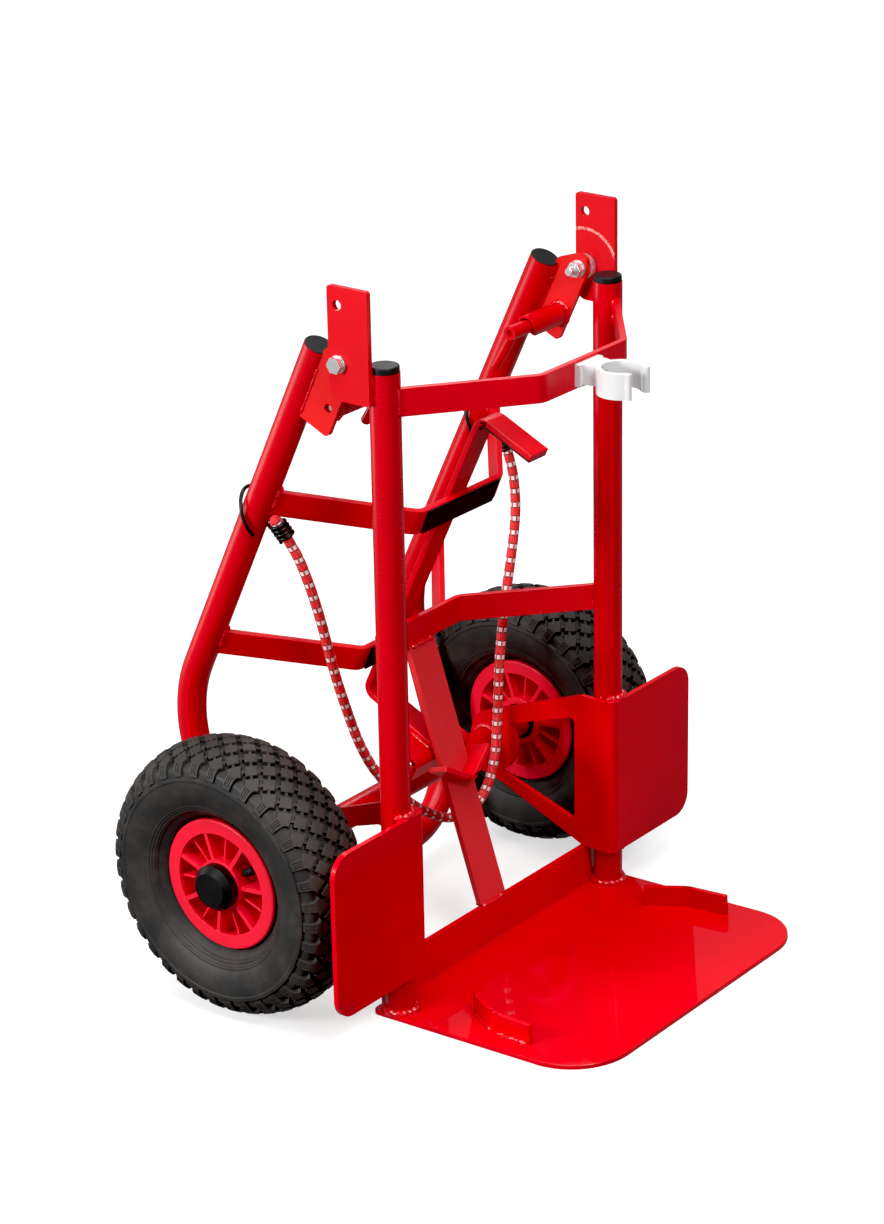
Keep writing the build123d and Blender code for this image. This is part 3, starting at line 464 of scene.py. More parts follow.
def moulded(name, colour, roughness, grain, bump, dust=0.0, shade=0.15, crests=0.0):
    """Moulded plastic or rubber: skin with its own grain, under dust on all of it and on its crests."""
    material, tree, shader = new_material(name)
    skin = placed(
        tree, skin_group(), Color=colour, Shade=shade, Roughness=roughness, Uneven=0.2,
        Fine_Scale=grain, Broad_Scale=18.0, Dimples=0.5,
    )
    film = placed(tree, dust_group(), Amount=dust, Scale=30.0)["Mask"]
    if crests:
        crest = tree.nodes.new("ShaderNodeAttribute")
        crest.attribute_name = "crest"
        top = placed(tree, dust_group(), Amount=crests, Scale=14.0)["Mask"]
        film = calc("MAXIMUM", film, times(plus(top, 0.4 * crests), crest.outputs["Fac"]))
    fill(
        shader, Base_Color=mix_colour(film, skin["Color"], (0.11, 0.085, 0.07)),
        Roughness=plus(skin["Roughness"], times(film, 0.3), True), Specular_IOR_Level=0.3,
        Normal=bumped(skin["Height"], bump, 0.0003),
    )
    return material


def plated(name, colour, roughness, metal=1.0):
    """Plated steel: metal with cloudy gloss and fine rub marks."""
    material, tree, shader = new_material(name)
    skin = placed(
        tree, skin_group(), Color=colour, Shade=0.35, Roughness=roughness, Uneven=0.35,
        Fine_Scale=1500.0, Broad_Scale=90.0, Dimples=0.3,
    )
    rub = placed(tree, wear_group(), Amount=0.5, Scale=250.0)["Mask"]
    fill(
        shader, Base_Color=mix_colour(rub, skin["Color"], (0.85, 0.85, 0.83)), Roughness=skin["Roughness"],
        Metallic=metal, Normal=bumped(skin["Height"], 0.15, 0.0001),
    )
    return material


def braided(name, red, white, black, rows, pitch):
    """Braided cover on the cord's own map: u runs along it in metres and v once round it.

    The ground is red, streaked along the cord by noise. In every row round the cord a pale dash fills part
    of each pitch, ended by two short black ticks. Crossed sine waves of u and v give the height of the braid.
    """
    material, tree, shader = new_material(name)
    along, around, _ = parts_of(tree.nodes.new("ShaderNodeUVMap").outputs["UV"])
    phase = apart(calc("FRACT", calc("DIVIDE", along, pitch)), 0.5)
    across = apart(calc("FRACT", times(around, float(rows))), 0.5)
    dash = times(ranged(phase, 0.175, 0.155), ranged(across, 0.33, 0.29))
    tick = times(ranged(phase, 0.15, 0.165), ranged(phase, 0.245, 0.23))
    tick = times(tick, ranged(across, 0.35, 0.31))
    skin = placed(
        tree, skin_group(), Color=red, Shade=0.2, Roughness=0.62, Uneven=0.15,
        Fine_Scale=1600.0, Broad_Scale=60.0, Dimples=0.6,
    )
    thread = tree.nodes.new("ShaderNodeCombineXYZ")
    fill(thread.inputs, X=times(along, 90.0), Y=times(around, 46.0))
    streak = ranged(noise(thread.outputs[0], 1.0, 2.0), 0.52, 0.72, 0.0, 0.2)
    ground = mix_colour(streak, skin["Color"], white)
    colour = mix_colour(tick, mix_colour(dash, ground, white), black)
    run, turn = times(along, 2600.0), times(around, 50.265)
    weave = times(calc("SINE", plus(run, turn)), calc("SINE", calc("SUBTRACT", run, turn)))
    height = plus(times(weave, 0.6), times(skin["Height"], 0.4))
    fill(
        shader, Base_Color=colour, Roughness=skin["Roughness"], Sheen_Weight=0.06,
        Normal=bumped(height, 0.6, 0.0005),
    )
    return material


# Settings


def swatch(name, description, default):
    """Setting that holds a colour."""
    return FloatVectorProperty(
        name=name, description=description, default=default, min=0, max=1, subtype="COLOR"
    )


def length(name, description, default, least=0.0005):
    """Setting that holds a length."""
    return FloatProperty(name=name, description=description, default=default, min=least, unit="LENGTH")


class CartFinish(bpy.types.PropertyGroup):
    """Colours of the cart's finishes."""

    paint: swatch("Paint", "Gloss paint of the steel frame", (0.70, 0.003, 0.012))
    rim: swatch("Rim", "Moulded rims of the wheels", (0.86, 0.018, 0.043))
    tyre: swatch("Tyre", "Tread and sidewall rubber", (0.026, 0.0255, 0.025))
    black: swatch("Black", "Hub caps, rubber pads and coated hooks", (0.006, 0.006, 0.0065))
    clip: swatch("Clip", "Moulded pole clip", (0.79, 0.79, 0.785))
    zinc: swatch("Zinc", "Plated bolts, nuts and washers", (0.88, 0.89, 0.9))
    cord_red: swatch("Cord red", "Ground of the braided cord", (0.86, 0.012, 0.018))
    cord_white: swatch("Cord white", "Dashes of the braided cord", (0.92, 0.9, 0.88))
    floor: swatch("Floor", "Plain pale floor", (0.5, 0.5, 0.5))


class CartSizes(bpy.types.PropertyGroup):
    """Sizes of the pieces that are built here."""

    edge: length("Edge", "Rounding of sawn plate edges", 0.0007, 0)
    bead: length("Weld bead", "Radius of the weld beads", 0.0026)
    tread_depth: length("Tread depth", "Height of the tyre's blocks", 0.0041)
    tread_gap: length("Tread gap", "Groove between two blocks", 0.0051)
    tread_count: IntProperty(
        name="Tread count", description="Blocks in one row round the tyre", default=36, min=8
    )
    cord_diameter: length("Cord", "Diameter of the elastic cord", 0.0095, 0.002)
    dash_pitch: length("Dash pitch", "Length of one dash and its gap on the cord", 0.0134, 0.002)
    pad: length("Pad", "Thickness of the rubber pads", 0.0022)


class CartSettings(bpy.types.PropertyGroup):
    """All settings of the cart."""

    finish: PointerProperty(type=CartFinish)
    sizes: PointerProperty(type=CartSizes)


@cache
def material_of(key):
    """One of the cart's finishes, built on first use from the settings."""
    f, pitch = bpy.context.scene.cart.finish, bpy.context.scene.cart.sizes.dash_pitch
    red, black = tuple(f.paint), tuple(f.black)
    # The tubes' red is the paint darkened to 0.85 of it: painted shade, so the round tubes look darker than
    # the flat plates under the same lamps.
    tube_red_painted_shade = tuple(0.85 * c for c in red)
    # The strut's red is paler and pinker than the paint: a painted reflection of white haze on the strut's
    # face.
    strut_red_with_painted_reflection, hinge_red_with_painted_sheen, bracket_red_with_painted_sheen = (0.69, 0.028, 0.034), (0.69, 0.012, 0.019), (0.73, 0.02, 0.022)
    makers = {
        "paint": lambda: painted("gloss_red_paint", red, wear=0.15),
        "tube_paint_with_painted_shade": lambda: painted("tube_paint_with_painted_shade", tube_red_painted_shade, 0.26, wear=0.06, gloss=0.32, bump=0.1),
        "bar_paint": lambda: painted("rolled_bar_paint", red, 0.34, 420.0, 2.2, 0.3, 0.35, 0.45),
        "strut_paint_with_painted_reflection": lambda: painted("strut_paint_with_painted_reflection", strut_red_with_painted_reflection, 0.4, 320.0, 3.2, gloss=0.45, bump=0.9),
        "toe_paint": lambda: painted("toe_plate_paint", red, 0.3, 700.0, 0.8, 0.4, 0.02, 0.05, 0.9, 0.03),
        "weld_paint": lambda: painted("weld_paint", red, 0.16, 500.0, 1.5, 0.1, 0.6, 0.5, 0.6),
        # The hinge plates' red is a touch paler and pinker than the paint: painted sheen; the pale arc on
        # them is a real scrape.
        "hinge_paint_with_painted_sheen": lambda: painted("scraped_paint_with_painted_sheen", hinge_red_with_painted_sheen, scrape=SCRAPE),
        # The brackets' red is paler and pinker than the paint: painted sheen.
        "bracket_paint_with_painted_sheen": lambda: painted("bracket_paint_with_painted_sheen", bracket_red_with_painted_sheen),
        "steel": lambda: plated("dark_steel", (0.05, 0.05, 0.052), 0.45),
        "cap": lambda: moulded("cap_plastic", (0.012, 0.012, 0.0125), 0.42, 900.0, 0.4, 0.07),
        "rim": lambda: moulded("rim_plastic", tuple(f.rim), 0.34, 1200.0, 0.12, shade=0.1),
        "black": lambda: moulded("black_plastic", black, 0.36, 1500.0, 0.2, 0.08),
        "rubber": lambda: moulded("pad_rubber", black, 0.6, 1300.0, 0.3, 0.06),
        "tyre": lambda: moulded("tyre_rubber", tuple(f.tyre), 0.5, 900.0, 0.25, 0.4, 0.3, crests=0.34),
        "clip": lambda: moulded("clip_plastic", tuple(f.clip), 0.38, 1300.0, 0.1, 0.08, 0.06),
        "zinc": lambda: plated("zinc_plating", tuple(f.zinc), 0.26, 0.75),
        "wire": lambda: moulded("coated_wire", black, 0.3, 1600.0, 0.15, 0.1),
        "cord": lambda: braided("braided_cover", tuple(f.cord_red), tuple(f.cord_white), black, 6, pitch),
    }
    return makers[key]()


def dress(nodes, key, edge=None):
    """Gives CAD nodes a finish and smooth shading; with an edge, also merges and rounds their sharp edges."""
    for name in nodes:
        node = NODES[name]
        node.data.materials.clear()
        node.data.materials.append(material_of(key))
        node.data.polygons.foreach_set("use_smooth", np.ones(len(node.data.polygons), bool))
        if edge:
            node.modifiers.new("merge", "WELD").merge_threshold = 1e-5
            bevel = node.modifiers.new("edges", "BEVEL")
            bevel.width, bevel.segments, bevel.limit_method = edge, 2, "ANGLE"
            bevel.angle_limit = math.radians(38)
            bevel.use_clamp_overlap = True
            flat = node.modifiers.new("flats", "WEIGHTED_NORMAL")
            flat.mode, flat.weight, flat.keep_sharp = "FACE_AREA", 80, True


def both(*names):
    """The left and the right node of each name."""
    return [f"{side}_{name}" for name in names for side, _ in SIDES]


class CART_OT_paint_frame(bpy.types.Operator):
    """Paints the steel frame, its flat bars and the handle"""

    bl_idname = "cart.paint_frame"
    bl_label = "Paint frame"

    def execute(self, context):
        edge = context.scene.cart.sizes.edge
        bars = [f"{level}_{name}_bar" for name in ("front", "rest") for level in ("upper", "lower")]
        dress(both("axle_plate") + ["foot_plate"], "paint", edge)
        dress(["toe_plate"], "toe_paint", edge)
        dress(both("toe_stop"), "paint", 0.5 * edge)
        # The hinge plates' paint has painted sheen in its colour.
        dress(both("hinge_plate"), "hinge_paint_with_painted_sheen", edge)
        # The brackets' paint has painted sheen in its colour.
        dress(both("bracket"), "bracket_paint_with_painted_sheen", edge)
        # The tubes' paint, here and on the next line, is darkened by painted shade.
        dress(both("upright", "lock_sleeve", "lock_lever"), "tube_paint_with_painted_shade")
        dress(["axle_tube", "axle_collars", "handle_bow"], "tube_paint_with_painted_shade")
        dress(bars + ["pole_cradle", "spine_bar"], "bar_paint", edge)
        # The strut's paint has a painted reflection in its colour.
        dress(["centre_strut"], "strut_paint_with_painted_reflection", edge)
        return {"FINISHED"}


class CART_OT_metal_fittings(bpy.types.Operator):
    """Plates the bolts, nuts, washers, lock pins, springs and bearings"""

    bl_idname = "cart.metal_fittings"
    bl_label = "Metal fittings"

    def execute(self, context):
        edge = 0.0003
        dress(["pivot_bolts", "pivot_nuts", "pivot_washers", "clip_screw"] + both("lock_pin"), "zinc", edge)
        dress(["axle_shaft", "axle_washers"], "steel", edge)
        dress(both("wheel_bearings"), "steel")
        dress(both("lock_spring"), "zinc")
        return {"FINISHED"}


class CART_OT_plastic_fittings(bpy.types.Operator):
    """Finishes the rims, tube caps, hub caps, inner tubes, cord hooks and the pole clip"""

    bl_idname = "cart.plastic_fittings"
    bl_label = "Plastic fittings"

    def execute(self, context):
        edge, rim_edge = 0.0006, 0.0009
        dress(both("rim"), "rim", rim_edge)
        dress(both("hub_cap"), "black", edge)
        dress(["upright_caps"], "cap", edge)
        dress(["handle_caps"], "cap")
        dress(["pipe_clip"], "clip", edge)
        dress(both("inner_tube"), "rubber")
        dress(both("cord_hook"), "wire")
        return {"FINISHED"}


# Tyres, in millimetres about the wheel's middle


def tyre_section(count=900):
    """Outer half section of the tyre by arc length t from the crown's middle.

    The crown arc runs to the shoulder, then the sidewall arc runs down to the bead. A running mean over
    SHOULDER_BLEND softens the shoulder between them. Returns t, x, r and the outward normal's two parts.
    """
    crown = np.linspace(0, math.asin(SHOULDER_X / CROWN_R), 400)
    wall = np.linspace(WALL_START, WALL_STOP, 600)[1:]
    x = np.concatenate([CROWN_R * np.sin(crown), WALL_X + WALL_R * np.cos(wall)])
    r = np.concatenate([WHEEL_R - CROWN_R + CROWN_R * np.cos(crown), WALL_Z + WALL_R * np.sin(wall)])
    t = run_of(np.stack([x, r], -1))
    even = np.linspace(0, t[-1], count)
    x, r = np.interp(even, t, x), np.interp(even, t, r)
    wide = int(SHOULDER_BLEND / (even[1] - even[0])) | 1
    kernel, pad = np.ones(wide) / wide, wide // 2
    beyond = slice(-2, -pad - 2, -1)
    x = np.convolve(np.concatenate([-x[pad:0:-1], x, 2 * x[-1] - x[beyond]]), kernel, "valid")
    r = np.convolve(np.concatenate([r[pad:0:-1], r, 2 * r[-1] - r[beyond]]), kernel, "valid")
    r += WHEEL_R - r[0]
    dx, dr = np.gradient(x, even), np.gradient(r, even)
    size = np.hypot(dx, dr)
    return even, x, r, -dr / size, dx / size


SECTION = tyre_section()


def on_tyre(around, across, height):
    """Points on the tyre: around along the crown, across along the section from its middle, height off it."""
    t, x, r, nx, nr = SECTION
    side, reach = np.sign(across), np.abs(across)
    px = side * (np.interp(reach, t, x) + height * np.interp(reach, t, nx))
    pr = np.interp(reach, t, r) + height * np.interp(reach, t, nr)
    turn = around / WHEEL_R
    return np.stack(np.broadcast_arrays(px, pr * np.cos(turn), pr * np.sin(turn)), -1)


def tyre_carcass(depth, turns=168):
    """Carcass under the blocks: the section turned about the axle, lowered by the tread depth on the crown.

    The height is minus depth on the crown, rises to minus 2 on the shoulder, and steps up to the
    sidewall at a raised band; three thin rings and a step stand near the bead.
    """
    t, _, r = SECTION[:3]
    spans = ((0, 46, 30), (46, 60, 40), (60, t[-1], 70))
    half = np.unique(np.concatenate([np.linspace(*span) for span in spans]))
    across = np.concatenate([-half[:0:-1], half])
    reach = np.abs(across)
    radius = np.interp(reach, t, r)
    # Each step by its rise and where it starts and stops across; the step at the bead by rise, radius and run
    steps = ((depth - 2.0, 36, 46), (2.6, 50.6, 52.2), (-0.6, 55.0, 56.6))
    bead_rise, bead_r, bead_run = -0.9, 71.0, 1.2
    height = -depth + sum(rise * ease(reach, start, stop) for rise, start, stop in steps)
    rings = sum(RING_HEIGHT * np.exp(-(((radius - c) / RING_WIDTH) ** 2)) for c in RING_RADII)
    height = height + rings + bead_rise * np.clip((bead_r - radius) / bead_run, 0, 1)
    around = np.linspace(0, 2 * math.pi * WHEEL_R, turns, endpoint=False)[:, None]
    turn = around / WHEEL_R
    lip = np.broadcast_arrays(np.array([LIP_X, -LIP_X]), LIP_R * np.cos(turn), LIP_R * np.sin(turn))
    points = np.concatenate([on_tyre(around, across[None], height[None]), np.stack(lip, -1)], 1)
    return points.reshape(-1, 3), grid_faces(turns, points.shape[1], True, True)[:, ::-1]


def lattice(rows, period, count):
    """Middles of the blocks of some rows, around and across, where every other row is half a step on."""
    around = (np.arange(count)[None] + 0.5 * (rows % 2)[:, None]).ravel() * period
    return around[:, None, None], np.repeat(rows * period / 2, count)[:, None, None]


def laid(around, across, height):
    """A stack of grids laid on the tyre, as (n, points, 3)."""
    return on_tyre(around, across, np.broadcast_to(height, around.shape)).reshape(len(around), -1, 3)


def tyre_blocks(depth, gap, count, period):
    """Rows of square blocks set on their corners, as a grid raised off the carcass.

    Each block is the grid of two edge lists c: the outermost line lies below the carcass and is wider
    by the draft, the next is the top edge less a small bevel, the inner ones are the top. The grid is
    turned by 45 degrees and set on a lattice with half a step between rows.
    """
    half = (period / math.sqrt(2) - gap) / 2
    draft, bevel, drop, foot = 0.55, 0.35, -0.3, -depth - 0.8
    c = np.array([half / 2, half - bevel, half, half + draft])
    c = np.concatenate([-c[::-1], [0], c])
    level = np.array([foot, drop, 0, 0, 0, 0, 0, drop, foot])
    u, v = np.meshgrid(c, c, indexing="ij")
    height = np.minimum(level[:, None], level[None, :])
    around, across = lattice(np.arange(-2, 3), period, count)
    points = laid(around + (u + v) / math.sqrt(2), across + (u - v) / math.sqrt(2), height)
    return copies(points, len(c), len(c))


def tyre_ties(depth, gap, count, period):
    """Small bars that tie each block to its neighbours across the groove, a little below the blocks' tops."""
    middle, reach, top, foot = period / math.sqrt(2) / 2, gap / 2 + 0.4, -0.6, -depth - 0.5
    u, v = np.meshgrid([middle - reach, middle, middle + reach], [-1.5, -1.2, 1.2, 1.5], indexing="ij")
    shapes = []
    for flip, rows in ((1, np.arange(-3, 3)), (-1, np.arange(-2, 4))):
        around, across = lattice(rows, period, count)
        around = around + (u + flip * v) / math.sqrt(2)
        across = across + flip * (u - flip * v) / math.sqrt(2)
        shapes.append(copies(laid(around, across, np.array([foot, top, top, foot])), *u.shape))
    return shapes


def tyre_lugs(depth, count, period):
    """Shoulder lugs: a half block that runs down the shoulder as a bar with three fine slots in its face.

    Along the lug the half width grows from the tip to the half block's full width, then drops to the
    bar's; across it the outer lines lie below the carcass and the three slots are 0.7 lower.
    """
    q = np.array([-1.0, 0, 1.5, 4, 6.5, 9.2, 10.6, 12, 13.6, 14.0, 17, 20, 22.8, 23.2, 25.2, 26.2, 27.2])
    width = np.interp(q, [-1.0, 0, 9.2, 11.4, 13, 27.2], [0.6, 0.4, 9.0, 6.0, 5.3, 4.9])
    edge = np.array([1.0, 0.93, 0.6, 0.55, 0.38, 0.33, 0.11, 0.06])
    s = np.concatenate([[-1.22], -edge, edge[::-1], [1.22]])
    slot = (np.abs(s) < 0.56) & (np.abs(s) > 0.37) | (np.abs(s) < 0.07)
    carved = (q > 13.9) & (q < 22.9)
    high = np.interp(q, [0, 14, 26.2], [0.0, 0.0, 0.5])[:, None] - 0.7 * carved[:, None] * slot[None]
    high[:, [1, -2]] -= 0.3
    high[[0, -1]] = high[:, [0, -1]] = -depth - 0.6
    around = ((np.arange(count) + 0.5) * period)[:, None, None] + width[:, None] * s[None]
    across = np.broadcast_to((q + 1.5 * period - 9.4)[:, None], around.shape)
    return [copies(laid(around, sign * across, high), *high.shape, flip=sign > 0) for _, sign in SIDES]


def tread_crest(points):
    """How much each point belongs to the tread's tops: 1 on the crown's section, 0 from sink below it.

    It fades out down the shoulder between the radii high and low.
    """
    sink, high, low = 1.2, 116, 106
    widest = int(np.argmax(SECTION[1]))
    crown = np.interp(np.abs(points[:, 0]), SECTION[1][:widest], SECTION[2][:widest])
    radius = np.hypot(points[:, 1], points[:, 2])
    return np.clip(1 + (radius - crown) / sink, 0, 1) * np.clip((radius - low) / (high - low), 0, 1)


class CART_OT_tyres(bpy.types.Operator):
    """Builds the block tread tyres over their solids"""

    bl_idname = "cart.tyres"
    bl_label = "Tyres"

    def execute(self, context):
        s = context.scene.cart.sizes
        depth, gap, count = s.tread_depth / MM, s.tread_gap / MM, s.tread_count
        period = 2 * math.pi * WHEEL_R / count
        parts = [tyre_carcass(depth), tyre_blocks(depth, gap, count, period)]
        parts += tyre_ties(depth, gap, count, period) + tyre_lugs(depth, count, period)
        points, faces = joined(parts)
        crest = tread_crest(points)
        rubber = material_of("tyre")
        for side, sign in SIDES:
            place = (points + np.array([sign * WHEEL_X, AXLE_Y, WHEEL_R])) * MM
            name, body = f"{side}_tread_tyre", f"{side}_wheel"
            tyre = add_piece(name, place, faces, body, rubber, crest=crest, smooth=32)
            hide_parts(f"{side}_tyre")
        return {"FINISHED"}


class CART_OT_valves(bpy.types.Operator):
    """Builds the valve stems with their ribbed caps"""

    bl_idname = "cart.valves"
    bl_label = "Valves"

    def execute(self, context):
        stem = [(57, 0.2), (57, 4.0), (44, 3.8), (42.5, 3.1), (40, 2.9)]
        cap = [(39.6, 3.8), (39, 4.1), (28, 4.0), (26.2, 3.3), (25.6, 0.2)]
        turn, out = math.radians(148.0), 18.5
        axis = lean_way((0.0, math.cos(turn), math.sin(turn)))
        for side, sign in SIDES:
            origin = np.array([sign * (WHEEL_X + out), AXLE_Y, WHEEL_R]) * MM
            points, faces = revolved(np.array(stem + cap) * MM, origin, axis, 28)
            name, body = f"{side}_valve_stem", f"{side}_wheel"
            valve = add_piece(name, points, faces, body, material_of("rubber"))
            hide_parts(f"{side}_valve")
        return {"FINISHED"}


# Rubber pads


def pad_strip(w, u, normal, thickness, half):
    """Rubber strip: a rounded bar section carried along a line of the handle, wide along X.

    Across the strip the section's two edges are half circles of the strip's thickness; the strip
    tapers at both ends over PAD_TAPER so that its corners are round too.
    """
    line = np.stack([np.zeros_like(w), w, u], -1)
    turn = np.linspace(0, math.pi, 9)
    edge = np.stack([half - thickness / 2 + np.sin(turn) * thickness / 2, np.cos(turn) * thickness / 2], -1)
    section = np.concatenate([edge, -edge])
    run = run_of(line)
    inset = np.minimum(run, run[-1] - run)
    thin = np.sqrt(np.clip(1 - np.clip(1 - inset / PAD_TAPER, 0, 1) ** 2, 0.02, 1))
    off = thickness / 2 + section[None, :, 1] * thin[:, None]
    points = line[:, None] + section[None, :, :1] * X_WAY + off[..., None] * normal[:, None]
    rows, cols = points.shape[:2]
    return points.reshape(-1, 3), grid_faces(rows, cols, wrap_cols=True).tolist() + end_faces(rows, cols)


class CART_OT_rubber_pads(bpy.types.Operator):
    """Builds the rubber strips on the rest bars and under the hook"""

    bl_idname = "cart.rubber_pads"
    bl_label = "Rubber pads"

    def execute(self, context):
        thickness = context.scene.cart.sizes.pad / MM

        def strip(name, *shape):
            """Adds a strip that takes the place of its pad."""
            points, faces = pad_strip(*shape)
            rubber = material_of("rubber")
            piece = add_piece(f"{name}_strip", on_handle(points), faces, "handle", rubber)
            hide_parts(f"{name}_pad")

        c, s = math.cos(REST_DROP), math.sin(REST_DROP)
        taper = np.linspace(0, PAD_TAPER, 6)
        down = np.linspace(PAD_TAPER, BAR_W - PAD_TAPER, 12)[1:]
        down = np.concatenate([taper, down, BAR_W - PAD_TAPER + taper[1:]])
        normal = np.broadcast_to([0.0, -c, -s], (len(down), 3))
        for name, top in REST_BARS:
            w = REST_W - BAR_T / 2 * c - down * s
            u = top + down * c - BAR_T / 2 * s
            strip(name, w, u, normal, thickness, REST_PAD)
        straight = np.concatenate([HOOK_TIP + taper, np.linspace(HOOK_TIP + PAD_TAPER, HOOK_BEND, 14)[1:]])
        bend = np.linspace(0, math.pi / 2, 10)[1:]
        nearly = 0.999
        w = np.concatenate([straight, HOOK_BEND + HOOK_R * np.sin(bend) * nearly])
        u = HOOK_U + np.concatenate([np.zeros(len(straight)), HOOK_R * (1 - np.cos(bend))])
        turned = np.stack([np.zeros_like(bend), -np.sin(bend), np.cos(bend)], -1)
        normal = np.concatenate([np.broadcast_to(Z_WAY, (len(straight), 3)), turned])
        strip("hook", w, u, normal, thickness, HOOK_PAD)
        return {"FINISHED"}


# Weld beads


def weld(points, radius, reference, closed=False, step=0.8, ripple=4.3):
    """Weld bead in millimetres: a tube that swells once in every ripple and lumps over longer waves."""
    p = np.asarray(points, float)
    run = run_of(p)
    even = np.linspace(0, run[-1], max(6, int(run[-1] / step)), endpoint=not closed)
    line = np.stack([np.interp(even, run, p[:, k]) for k in range(3)], -1)
    lumps = 0.12 * np.sin(0.47 * even) + 0.1 * np.sin(1.13 * even + 1.0)
    swell = radius * (0.84 + 0.12 * np.abs(np.sin(math.pi * even / ripple)) + lumps)
    if not closed:
        ends = np.minimum(even, even[-1] - even)
        swell = swell * np.sqrt(np.clip(ends / (1.2 * radius), 0.06, 1))
    return tube_along(line, swell, 10, reference, closed)


def ring_points(x, y, z, radius, first, second, start=0.0, stop=360.0):
    """Points of a circle or arc about a centre, in the plane of two directions."""
    turn = np.radians(np.linspace(start, stop, 73))[:, None]
    return np.array([x, y, z]) + radius * (np.cos(turn) * np.array(first) + np.sin(turn) * np.array(second))


def cope_points(end, way, centre):
    """The two places where a flat bar's faces meet a tube: each face's line cut with the tube's circle."""
    way = unit(way)
    out = []
    for k in (-1, 1):
        start = np.asarray(end, float) + k * BAR_T / 2 * np.array([-way[1], way[0]])
        off = start - np.asarray(centre, float)
        b = off @ way
        out.append(start + (math.sqrt(b * b - (off @ off - TUBE_R**2)) - b) * way)
    return out


